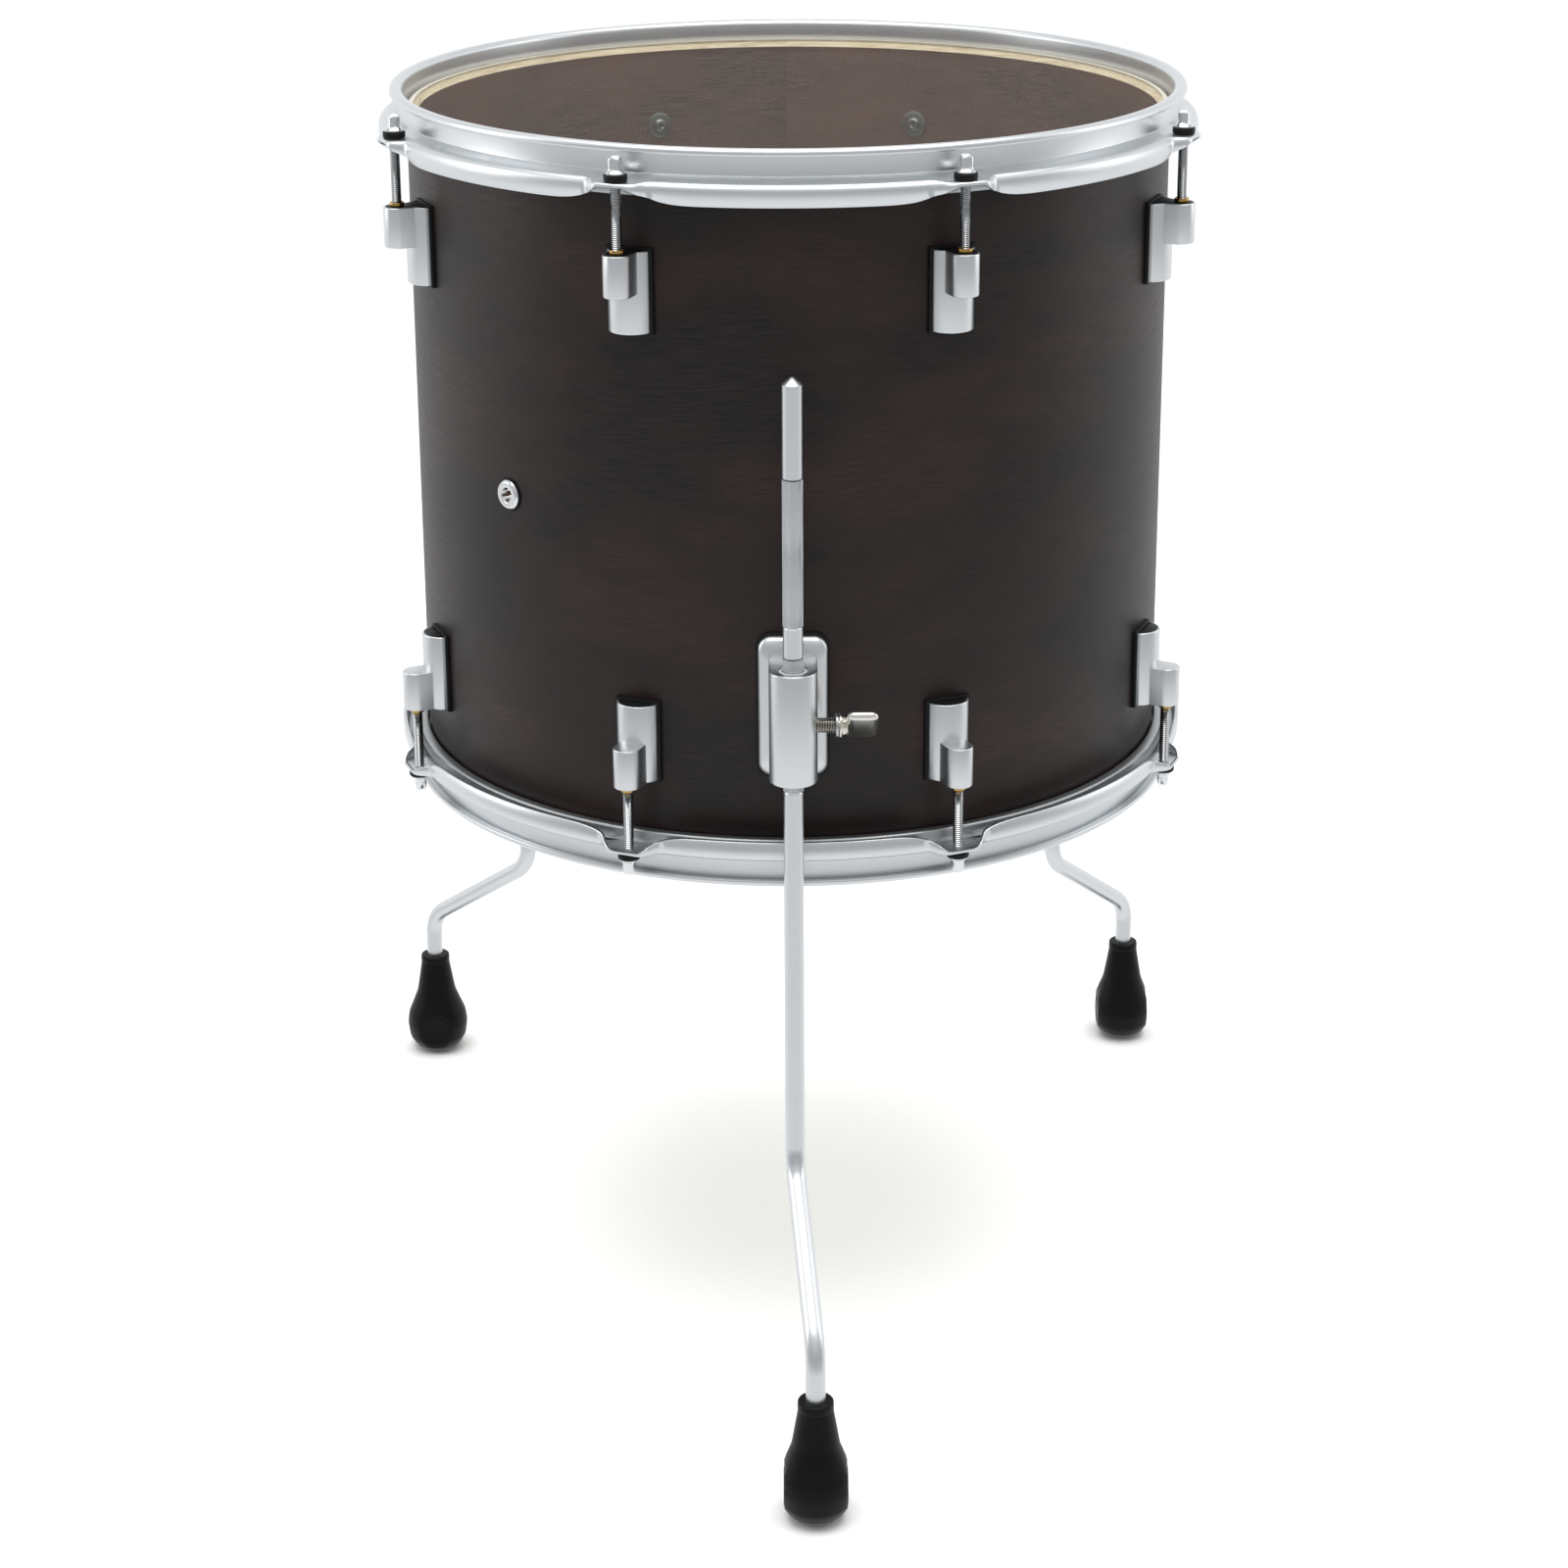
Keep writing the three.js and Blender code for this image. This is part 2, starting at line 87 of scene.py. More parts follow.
def start_finish(name):
    """An empty node material."""
    material = bpy.data.materials.new(name)
    material.use_nodes = True
    material.node_tree.nodes.clear()
    return material, material.node_tree


def rounded(outline, radius, steps=4, closed=True):
    """The outline with each corner turned into an arc. A third number is a corner's own radius."""
    corners = [np.array(corner[:2], float) for corner in outline]
    radii = [corner[2] if len(corner) > 2 else radius for corner in outline]
    result = []
    for i, corner in enumerate(corners):
        if not closed and i in (0, len(corners) - 1):
            result.append(corner)
            continue
        back = corners[i - 1] - corner
        on = corners[(i + 1) % len(corners)] - corner
        back_length, on_length = np.linalg.norm(back), np.linalg.norm(on)
        back, on = back / back_length, on / on_length
        half = math.acos(np.clip(back @ on, -1, 1)) / 2
        # A sharp corner stays one point. A nearly straight one is repeated, so that counts match.
        if radii[i] == 0 or half > math.radians(89):
            result.extend([corner] * (steps + 1 if radii[i] else 1))
            continue
        reach = min(radii[i] / math.tan(half), 0.49 * back_length, 0.49 * on_length)
        bisector = (back + on) / np.linalg.norm(back + on)
        centre = corner + bisector * reach / math.cos(half)
        first, last = corner + back * reach - centre, corner + on * reach - centre
        start = math.atan2(first[1], first[0])
        sweep = (math.atan2(last[1], last[0]) - start + math.pi) % (2 * math.pi) - math.pi
        for share in np.linspace(0, 1, steps + 1):
            angle = start + sweep * share
            result.append(centre + np.linalg.norm(first) * np.array([math.cos(angle), math.sin(angle)]))
    return np.array(result)


def lofted(rings, ends="capped"):
    """Points and faces of a skin over rings of equal counts, with its ends capped, joined or open."""
    count = len(rings[0])
    faces = []
    for i in range(len(rings) if ends == "joined" else len(rings) - 1):
        low, high = i * count, (i + 1) % len(rings) * count
        faces += [(low + j, low + (j + 1) % count, high + (j + 1) % count, high + j) for j in range(count)]
    if ends == "capped":
        faces += [tuple(range(count)), tuple(range((len(rings) - 1) * count, len(rings) * count))]
    return np.concatenate(rings), faces


def turned(profile, segments=48):
    """A solid turned about the Z axis from a (radius, height) profile, closed or ended on the axis."""
    angles = np.linspace(0, 2 * math.pi, segments, endpoint=False)
    rings = [
        np.column_stack([r * np.sin(angles), -r * np.cos(angles), np.full(segments, z)]) for r, z in profile
    ]
    return lofted(rings, "open" if profile[0][0] == 0 and profile[-1][0] == 0 else "joined")


def make_piece(name, *solids, sharp_above=32):
    """A smooth-shaded object in metres from solids in millimetres, its faces turned outwards."""
    mesh = bpy.data.meshes.new(name)
    points, faces = [], []
    for solid_points, solid_faces in solids:
        start = sum(len(p) for p in points)
        points.append(solid_points)
        faces += [tuple(start + corner for corner in face) for face in solid_faces]
    mesh.from_pydata((np.concatenate(points) * MM).tolist(), [], faces)
    work = bmesh.new()
    work.from_mesh(mesh)
    bmesh.ops.remove_doubles(work, verts=work.verts, dist=1e-6)
    bmesh.ops.recalc_face_normals(work, faces=work.faces)
    work.to_mesh(mesh)
    work.free()
    mesh.polygons.foreach_set("use_smooth", [True] * len(mesh.polygons))
    mesh.set_sharp_from_angle(angle=math.radians(sharp_above))
    made = bpy.data.objects.new(name, mesh)
    bpy.context.scene.collection.objects.link(made)
    return made


def make_plain(piece):
    """Replaces a piece's mesh with what its modifiers make of it, and removes them."""
    graph = bpy.context.evaluated_depsgraph_get()
    mesh = bpy.data.meshes.new_from_object(piece.evaluated_get(graph))
    piece.modifiers.clear()
    piece.data = mesh
    return piece


def radial(solid, azimuth, distance, height=0):
    """A solid made about the Z axis, stood on the drum's wall with its Z axis pointing outwards."""
    points, faces = solid
    angle = math.radians(azimuth)
    out = points[:, 2] + distance
    x = points[:, 0] * math.cos(angle) + out * math.sin(angle)
    y = points[:, 0] * math.sin(angle) - out * math.cos(angle)
    return np.column_stack([x, y, points[:, 1] + height]), faces


def to_drum(solid, height=0):
    """Moves a solid made about the drum's axis to where the drum stands."""
    points, faces = solid
    return points + [AXIS_X, AXIS_Y, MIDDLE + height], faces


inner_wall = SHELL_RADIUS - SHELL_WALL
edge_inner = SHELL_RADIUS - EDGE_ROUND - EDGE_FLAT
edge_profile = [
    (SHELL_RADIUS, VENT_ROW),
    (SHELL_RADIUS, SHELL_HALF, EDGE_ROUND),
    (edge_inner, SHELL_HALF, 0.3),
    (inner_wall, SHELL_HALF - EDGE_BEVEL, 0.4),
    (inner_wall, VENT_ROW),
]
upper_half = rounded(edge_profile, 0.3, closed=False)
shell_profile = np.concatenate([upper_half, (upper_half * [1, -1])[::-1]])
shell = make_piece("shell_wall", to_drum(turned(shell_profile, 192)))
bore_profile = [(0, BORE_START), (VENT_BORE, BORE_START), (VENT_BORE, BORE_END), (0, BORE_END)]
bore_tool = make_piece("vent_bore", to_drum(radial(turned(bore_profile), VENT_AZIMUTH, 0)))
cut = shell.modifiers.new("Vent bore", "BOOLEAN")
cut.operation = "DIFFERENCE"
cut.object = bore_tool
make_plain(shell)
bpy.data.objects.remove(bore_tool)

# The veneer's own map, in metres: along the plies, and up the shell. It meets at the back.
veneer = shell.data.uv_layers.new(name="Veneer")
for face in shell.data.polygons:
    corners = [shell.data.vertices[i].co for i in face.vertices]
    turns = [math.atan2(c.x - AXIS_X * MM, AXIS_Y * MM - c.y) for c in corners]
    if max(turns) - min(turns) > math.pi:
        turns = [turn + 2 * math.pi if turn < 0 else turn for turn in turns]
    for loop, turn, corner in zip(face.loop_indices, turns, corners):
        veneer.data[loop].uv = (turn * SHELL_RADIUS * MM, corner.z)


def end_finish(tree, inputs, height, strength, distance):
    """Ends a material: one shader, its surface raised by a pattern up to a distance in millimetres."""
    relief = add_node(
        tree, "ShaderNodeBump", {"Height": height, "Strength": strength, "Distance": distance * MM}
    )
    shader = add_node(tree, "ShaderNodeBsdfPrincipled", inputs | {"Normal": relief.outputs[0]})
    add_node(tree, "ShaderNodeOutputMaterial", {"Surface": shader.outputs[0]})


def wood_finish(name, dark, middle, warm, roughness, grain_depth):
    """Maple veneer: long fine grain that wanders, over broad patches of stain."""
    material, tree = start_finish(name)
    along = add_node(tree, "ShaderNodeUVMap", uv_map="Veneer").outputs["UV"]
    # The grain wanders up and down by about 10 mm in a length of 140 mm
    drift = add_node(tree, "ShaderNodeTexNoise", {"Vector": along, "Scale": 7.0, "Detail": 3.0})
    bend = add_node(
        tree, "ShaderNodeVectorMath", {0: drift.outputs["Color"], 1: (0.0, 0.025, 0.0)}, operation="MULTIPLY"
    )
    wander = add_node(tree, "ShaderNodeVectorMath", {0: along, 1: bend.outputs[0]}, operation="ADD")
    wandering = wander.outputs[0]
    # Grain lines 20 mm long and 1 mm apart, and pores 9 mm long and 0.7 mm apart
    grain_map = add_node(tree, "ShaderNodeMapping", {"Vector": wandering, "Scale": (50.0, 1000.0, 1.0)})
    grain = add_node(
        tree, "ShaderNodeTexNoise",
        {"Vector": grain_map.outputs[0], "Scale": 1.0, "Detail": 5.0, "Roughness": 0.6},
    )
    pore_map = add_node(tree, "ShaderNodeMapping", {"Vector": wandering, "Scale": (110.0, 1400.0, 1.0)})
    pores = add_node(tree, "ShaderNodeTexNoise", {"Vector": pore_map.outputs[0], "Scale": 1.0, "Detail": 3.0})
    # Patches of stain about 140 mm along the grain and 70 mm across it
    patch_map = add_node(tree, "ShaderNodeMapping", {"Vector": wandering, "Scale": (7.0, 15.0, 1.0)})
    patches = add_node(
        tree, "ShaderNodeTexNoise",
        {"Vector": patch_map.outputs[0], "Scale": 1.0, "Detail": 6.0, "Roughness": 0.6},
    )
    patch_share = add_node(
        tree, "ShaderNodeMapRange", {"Value": patches.outputs[0], "From Min": 0.42, "From Max": 0.62}
    )
    grain_share = add_node(
        tree, "ShaderNodeMapRange", {"Value": grain.outputs[0], "From Min": 0.4, "From Max": 0.62}
    )
    pore_share = add_node(
        tree, "ShaderNodeMapRange",
        {"Value": pores.outputs[0], "From Min": 0.55, "From Max": 0.75, "To Max": 0.45},
    )
    stain = add_node(
        tree, "ShaderNodeMix", {0: patch_share.outputs[0], 6: linear(dark), 7: linear(warm)}, data_type="RGBA"
    )
    lined = add_node(
        tree, "ShaderNodeMix", {0: grain_share.outputs[0], 6: stain.outputs[2], 7: linear(middle)},
        data_type="RGBA",
    )
    pored = add_node(
        tree, "ShaderNodeMix", {0: pore_share.outputs[0], 6: lined.outputs[2], 7: linear(dark)},
        data_type="RGBA",
    )
    sheen = add_node(
        tree, "ShaderNodeMapRange",
        {"Value": grain.outputs[0], "From Min": 0.3, "From Max": 0.7, "To Min": roughness - 0.04,
         "To Max": roughness + 0.06},
    )
    end_finish(
        tree,
        {"Base Color": pored.outputs[2], "Roughness": sheen.outputs[0], "Specular IOR Level": 0.32},
        pores.outputs[0], grain_depth, 0.2,
    )
    return material


# Espresso stain under satin lacquer: nearly black, with warm brown showing along the grain
stained_outside = wood_finish("stained maple, satin lacquer", "#0b0908", "#1e1512", "#2e1c16", 0.44, 0.25)
# Thin stain, sealed: grey brown and flatter
stained_inside = wood_finish("stained maple, sealed", "#4d3934", "#66504b", "#704f42", 0.55, 0.2)
# Bare maple, sanded and waxed: pale tan with a fine darker grain
bare_edge = wood_finish("bare maple, waxed", "#ab9a82", "#cfc3af", "#c2b299", 0.5, 0.2)
for finish in (stained_outside, stained_inside, bare_edge):
    shell.data.materials.append(finish)
centre_line = Vector((AXIS_X * MM, AXIS_Y * MM, 0))
for face in shell.data.polygons:
    away = (face.center - centre_line).xy.length / MM
    from_end = SHELL_HALF - abs(face.center.z / MM - MIDDLE)
    on_edge = from_end < EDGE_BEVEL + 0.2 and away < SHELL_RADIUS - 0.05
    face.material_index = 2 if on_edge else 0 if away > SHELL_RADIUS - 1 else 1
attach(shell, "shell_body")
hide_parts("shell")

# --- Vent ----------------------------------------------------------------------------------
# A chromed brass eyelet pressed through the shell over a black fibre ring, so that air can
# leave when the head is struck.
VENT_OUTER, VENT_HOLE, VENT_LIP, VENT_STAND = 7.9, 3.8, 1.6, 0.4
VENT_RING_OUTER, VENT_RING_HEIGHT, VENT_RING_SUNK = 8.6, 1.0, 0.35
vent_profile = rounded(
    [
        (VENT_HOLE, -SHELL_WALL - 0.6, 0.2),
        (VENT_HOLE, VENT_LIP, 0.5),
        (VENT_OUTER - 1.2, VENT_LIP, 1.0),
        (VENT_OUTER, 0.3, 0.4),
        (VENT_OUTER - 0.6, 0.1, 0.2),
        (VENT_BORE - 0.1, 0.1, 0.2),
        (VENT_BORE - 0.1, -SHELL_WALL - 0.6, 0.2),
    ],
    0.3,
)
vent_ring_profile = rounded(
    [(VENT_BORE, 0), (VENT_RING_OUTER, 0), (VENT_RING_OUTER, VENT_RING_HEIGHT),
     (VENT_BORE, VENT_RING_HEIGHT)], 0.25, 2,
)
vent, vent_ring = [
    make_piece(name, to_drum(radial(turned(profile, 64), VENT_AZIMUTH, distance)))
    for name, profile, distance in (
        ("vent_eyelet", vent_profile, SHELL_RADIUS + VENT_STAND),
        ("vent_ring", vent_ring_profile, SHELL_RADIUS - VENT_RING_SUNK),
    )
]


def metal_finish(name, colour, spread, roughness, grain, depth, groove_shade=None):
    """A plated or bare metal: a faint cloud in its gloss and a fine even grain in its surface.

    With a shade colour for its grooves, painted shade darkens them where the piece's own Crest attribute says
    its grooves are."""
    material, tree = start_finish(name)
    place = add_node(tree, "ShaderNodeTexCoord").outputs["Object"]
    # The cloud is about 22 mm across
    cloud = add_node(tree, "ShaderNodeTexNoise", {"Vector": place, "Scale": 45.0, "Detail": 3.0})
    speck = add_node(tree, "ShaderNodeTexNoise", {"Vector": place, "Scale": 1 / (grain * MM), "Detail": 2.0})
    tint = add_node(
        tree, "ShaderNodeMix",
        {0: cloud.outputs[0], 6: linear(colour), 7: [c * spread for c in linear(colour)[:3]] + [1.0]},
        data_type="RGBA",
    )
    # Painted shade: the dark colour fills the grooves, darkest at their roots
    if groove_shade:
        crest = add_node(tree, "ShaderNodeAttribute", attribute_name="Crest").outputs["Fac"]
        tint = add_node(
            tree, "ShaderNodeMix", {0: crest, 6: linear(groove_shade), 7: tint.outputs[2]}, data_type="RGBA"
        )
    gloss = add_node(
        tree, "ShaderNodeMapRange",
        {"Value": speck.outputs[0], "From Min": 0.3, "From Max": 0.7, "To Min": roughness * 0.9,
         "To Max": roughness * 1.12},
    )
    end_finish(
        tree, {"Base Color": tint.outputs[2], "Metallic": 1.0, "Roughness": gloss.outputs[0]},
        speck.outputs[0], depth, 0.05,
    )
    return material


def moulded_finish(name, colour, worn, roughness, grain, depth):
    """A moulded plastic or rubber: one colour with a dusty bloom, and the mould's fine grain."""
    material, tree = start_finish(name)
    place = add_node(tree, "ShaderNodeTexCoord").outputs["Object"]
    # The bloom lies in patches about 17 mm across
    bloom = add_node(tree, "ShaderNodeTexNoise", {"Vector": place, "Scale": 60.0, "Detail": 4.0})
    speck = add_node(tree, "ShaderNodeTexNoise", {"Vector": place, "Scale": 1 / (grain * MM), "Detail": 2.0})
    tint = add_node(
        tree, "ShaderNodeMix", {0: bloom.outputs[0], 6: linear(colour), 7: linear(worn)}, data_type="RGBA"
    )
    gloss = add_node(
        tree, "ShaderNodeMapRange",
        {"Value": bloom.outputs[0], "From Min": 0.3, "From Max": 0.7, "To Min": roughness - 0.06,
         "To Max": roughness + 0.06},
    )
    end_finish(
        tree,
        {"Base Color": tint.outputs[2], "Roughness": gloss.outputs[0], "Specular IOR Level": 0.15},
        speck.outputs[0], depth, 0.1,
    )
    return material


# Bright chrome plate: a clean mirror, a little cool
bright_chrome = metal_finish("bright chrome plate", "#e6e8ea", 0.97, 0.09, 0.5, 0.03)
# Black fibre and nylon: matt, with a fine moulded grain
black_nylon = moulded_finish("black nylon", "#0e0e0f", "#191a1b", 0.42, 0.5, 0.2)
vent.data.materials.append(bright_chrome)
vent_ring.data.materials.append(black_nylon)
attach(vent, "shell_body")
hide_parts("vent_grommet")
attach(vent_ring, "shell_body")

# --- Lugs ----------------------------------------------------------------------------------
# Die-cast zinc, satin chromed: a D-shaped base held from inside by two screws, and a round-
# nosed tube for the rod. Eight for each head, on black gaskets; the lower ones are turned over.
LUGS_PER_HEAD = 8
FIRST_LUG = 180 / LUGS_PER_HEAD
LUG_END, LUG_HEIGHT, TUBE_HEIGHT = 137.0, 41.0, 21.0
LUG_HALF, LUG_BACK, LUG_SHOULDER, LUG_FRONT = 10.9, 203.9, 206.5, 213.8
LUG_TUBE_RADIUS = 7.2
ROD_CIRCLE = 218.4
END_SHADE_MARGIN, END_SHADE_DEPTH, CASTING_BEVEL = 1.1, 0.5, 0.6
GASKET_HALF, GASKET_HEIGHT, GASKET_BACK, GASKET_FRONT = 12.3, 43.0, 202.7, 205.0


def inset(outline, distance):
    """An anticlockwise outline moved inwards."""
    along = np.roll(outline, -1, 0) - np.roll(outline, 1, 0)
    inward = np.column_stack([-along[:, 1], along[:, 0]]) / np.linalg.norm(along, axis=1)[:, None]
    return outline + inward * distance


def prism(outline, levels):
    """An upright solid over a plan, with the plan moved in by its own amount at each height."""
    rings = []
    for height, margin in levels:
        plan = inset(outline, margin)
        rings.append(np.column_stack([plan, np.full(len(plan), height)]))
    return lofted(rings)


def soft_ends(low, high, bevel):
    """Levels for a prism with rounded end edges."""
    turn = [(bevel * (1 - math.sin(math.radians(a))), bevel * (1 - math.cos(math.radians(a))))
            for a in (0, 30, 60, 90)]
    lower = [(low + down, side) for down, side in reversed(turn)]
    return lower + [(high - down, side) for down, side in turn]


crown = LUG_FRONT - LUG_SHOULDER
crown_radius = (LUG_HALF**2 + crown**2) / (2 * crown)
crown_turn = math.asin(LUG_HALF / crown_radius)
crown_centre = LUG_FRONT - crown_radius
crown_arc = [
    (crown_radius * math.sin(a), -crown_centre - crown_radius * math.cos(a))
    for a in np.linspace(-crown_turn, crown_turn, 21)
]
base_plan = np.concatenate(
    [rounded([(-LUG_HALF, -LUG_BACK), (-LUG_HALF, -LUG_SHOULDER), crown_arc[1]], 0.9, closed=False)[:-1],
     crown_arc[1:-1],
     rounded([crown_arc[-2], (LUG_HALF, -LUG_SHOULDER), (LUG_HALF, -LUG_BACK)], 0.9, closed=False)[1:]]
)
nose_turns = np.radians(np.linspace(180, 360, 25))
nose = LUG_TUBE_RADIUS * np.column_stack([np.cos(nose_turns), np.sin(nose_turns)]) - [0, ROD_CIRCLE]
tube_plan = np.concatenate([[(-LUG_TUBE_RADIUS, -LUG_SHOULDER)], nose, [(LUG_TUBE_RADIUS, -LUG_SHOULDER)]])
lug_low, lug_high = LUG_END - LUG_HEIGHT, LUG_END
castings = make_piece(
    "lug_castings",
    prism(base_plan, soft_ends(lug_low, lug_high, CASTING_BEVEL)),
    prism(tube_plan, soft_ends(lug_high - TUBE_HEIGHT, lug_high + 0.05, CASTING_BEVEL)),
)
# Painted shade: black nylon plates, sunk into the ends of the base and the tube and standing a little proud,
# stand for the dark, shaded end faces of the chrome lugs
base_end_shade, tube_end_shade = inset(base_plan, END_SHADE_MARGIN), inset(tube_plan, END_SHADE_MARGIN)
end_shade_plates = make_piece(
    "lug_end_shade_plates",
    prism(base_end_shade, soft_ends(lug_low - 0.06, lug_low + END_SHADE_DEPTH, 0.1)),
    prism(base_end_shade, soft_ends(lug_high - END_SHADE_DEPTH, lug_high + 0.1, 0.1)),
    prism(tube_end_shade, soft_ends(lug_high - END_SHADE_DEPTH, lug_high + 0.14, 0.1)),
)
gasket_plan = rounded(
    [(-GASKET_HALF, -GASKET_BACK), (-GASKET_HALF, -GASKET_FRONT), (GASKET_HALF, -GASKET_FRONT),
     (GASKET_HALF, -GASKET_BACK)], 0.3, 2,
)
gasket_spare = (GASKET_HEIGHT - LUG_HEIGHT) / 2
gasket_levels = soft_ends(lug_low - gasket_spare, lug_high + gasket_spare, 0.3)
gaskets = make_piece("lug_gaskets", prism(gasket_plan, gasket_levels))

# The brass swivel nut's collar, which stands a little out of the tube
NUT_BORE, NUT_NECK, NUT_COLLAR, NUT_HEIGHT = 2.75, 3.3, 3.7, 2.3
nut_profile = rounded(
    [(NUT_BORE, -1.5), (NUT_NECK, -1.5), (NUT_NECK, 0.3), (NUT_COLLAR, 0.3), (NUT_COLLAR, NUT_HEIGHT),
     (NUT_BORE, NUT_HEIGHT)], 0.2, 2,
)
nuts = make_piece("swivel_nuts", turned(nut_profile, 32))

# Each lug's two screws, with their broad washers, inside the shell
SCREW_SPREAD, SCREW_HEAD, SCREW_SOCKET = 14.5, 3.9, 2.6
screw_middle = LUG_END - LUG_HEIGHT / 2
screw_dome = rounded(
    [(SCREW_HEAD, 0.6), (SCREW_HEAD, 2.2), (3.1, 3.6), (1.5, 3.9), (1.4, SCREW_SOCKET)], 0.4, 3, False
)
screw_profile = np.concatenate([[(0, 0.5), (SCREW_HEAD, 0.5)], screw_dome, [(0, SCREW_SOCKET)]])


def flat_washer(bore, outer, height):
    """The profile of a plain washer that lies on the wall."""
    return rounded([(bore, 0.05), (outer, 0.05), (outer, height), (bore, height)], 0.3, 2)


def inside_wall(profile, height):
    """A turned solid stood on the inner wall at the front, pointing at the drum's middle."""
    points, faces = turned(profile, 24)
    return radial((points * [1, 1, -1], faces), 0, inner_wall, height)


lug_washers, lug_screws = [
    make_piece(
        name, *[inside_wall(profile, screw_middle + offset) for offset in (-SCREW_SPREAD, SCREW_SPREAD)]
    )
    for name, profile in (("lug_screw_washers", flat_washer(2.0, 7.4, 1.1)), ("lug_screws", screw_profile))
]


def start_tree(name, inputs, output):
    """A Geometry Nodes tree with named inputs and one output of geometry, and what its inputs give."""
    tree = bpy.data.node_groups.new(name, "GeometryNodeTree")
    for label, kind in inputs.items():
        tree.interface.new_socket(label, in_out="INPUT", socket_type="NodeSocket" + kind)
    tree.interface.new_socket(output, in_out="OUTPUT", socket_type="NodeSocketGeometry")
    return tree, add_node(tree, "NodeGroupInput").outputs


def end_tree(tree, geometry, finish):
    """Ends a tree with its geometry made real and given its finish."""
    real = add_node(tree, "GeometryNodeRealizeInstances", {0: geometry})
    finished = add_node(tree, "GeometryNodeSetMaterial", {"Geometry": real.outputs[0], "Material": finish})
    add_node(tree, "NodeGroupOutput", {0: finished.outputs[0]})
    return tree


def copies_tree():
    """Copies of a piece set round the drum, and again turned over for its lower end."""
    tree, given = start_tree(
        "Copies round the drum",
        {"Piece": "Geometry", "Copies": "Int", "Ends": "Int", "Turned over": "Float",
         "First azimuth": "Float", "Distance out": "Float", "Own turn": "Float", "Centre": "Vector",
         "Finish": "Material"},
        "Set",
    )
    index = add_node(tree, "GeometryNodeInputIndex").outputs[0]
    count = add_node(tree, "ShaderNodeMath", {0: given["Copies"], 1: given["Ends"]}, operation="MULTIPLY")
    end = add_node(tree, "ShaderNodeMath", {0: index, 1: given["Copies"]}, operation="DIVIDE")
    end = add_node(tree, "ShaderNodeMath", {0: end.outputs[0]}, operation="FLOOR")
    over = add_node(tree, "ShaderNodeMath", {0: end.outputs[0], 1: given["Turned over"]}, operation="ADD")
    over = add_node(tree, "ShaderNodeMath", {0: over.outputs[0], 1: math.pi}, operation="MULTIPLY")
    step = add_node(tree, "ShaderNodeMath", {0: 2 * math.pi, 1: given["Copies"]}, operation="DIVIDE")
    azimuth = add_node(
        tree, "ShaderNodeMath", {0: index, 1: step.outputs[0], 2: given["First azimuth"]},
        operation="MULTIPLY_ADD",
    )
    turn = add_node(tree, "ShaderNodeMath", {0: azimuth.outputs[0], 1: given["Own turn"]}, operation="ADD")
    sine = add_node(tree, "ShaderNodeMath", {0: azimuth.outputs[0]}, operation="SINE")
    cosine = add_node(tree, "ShaderNodeMath", {0: azimuth.outputs[0]}, operation="COSINE")
    backwards = add_node(tree, "ShaderNodeMath", {0: cosine.outputs[0], 1: -1.0}, operation="MULTIPLY")
    outwards = add_node(tree, "ShaderNodeCombineXYZ", {0: sine.outputs[0], 1: backwards.outputs[0]})
    reach = add_node(
        tree, "ShaderNodeVectorMath", {0: outwards.outputs[0], "Scale": given["Distance out"]},
        operation="SCALE",
    )
    place = add_node(tree, "ShaderNodeVectorMath", {0: reach.outputs[0], 1: given["Centre"]}, operation="ADD")
    stations = add_node(tree, "GeometryNodePoints", {"Count": count.outputs[0], "Position": place.outputs[0]})
    angles = add_node(tree, "ShaderNodeCombineXYZ", {1: over.outputs[0], 2: turn.outputs[0]})
    copies = add_node(
        tree, "GeometryNodeInstanceOnPoints",
        {"Points": stations.outputs[0], "Instance": given["Piece"], "Rotation": angles.outputs[0]},
    )
    return end_tree(tree, copies.outputs[0], given["Finish"])


def set_inputs(modifier, values):
    """Sets a Geometry Nodes modifier's inputs, each found by its socket's identifier."""
    for socket in modifier.node_group.interface.items_tree:
        if socket.in_out == "INPUT" and socket.name in values:
            modifier[socket.identifier] = values[socket.name]


COPIES = copies_tree()


def set_round_drum(
    piece, finish, azimuth=0.0, out=0.0, height=0.0, copies=1, ends=1, turned_over=0, own_turn=0.0
):
    """Sets copies of a piece round the drum and leaves them as one plain mesh."""
    modifier = piece.modifiers.new("Copies round the drum", "NODES")
    modifier.node_group = COPIES
    set_inputs(
        modifier,
        {"Copies": copies, "Ends": ends, "Turned over": float(turned_over),
         "First azimuth": math.radians(azimuth), "Distance out": out * MM,
         "Own turn": math.radians(own_turn), "Finish": finish,
         "Centre": (AXIS_X * MM, AXIS_Y * MM, (MIDDLE + height) * MM)},
    )
    return make_plain(piece)


# Satin chrome over a fine bead-blasted ground: pearly silver with soft, broad highlights
satin_chrome = metal_finish("satin chrome plate", "#dfe2e4", 0.95, 0.33, 0.45, 0.12)
# Turned brass, left bare: warm yellow and bright on its edges
turned_brass = metal_finish("turned brass", "#c9a45c", 0.88, 0.24, 0.5, 0.08)
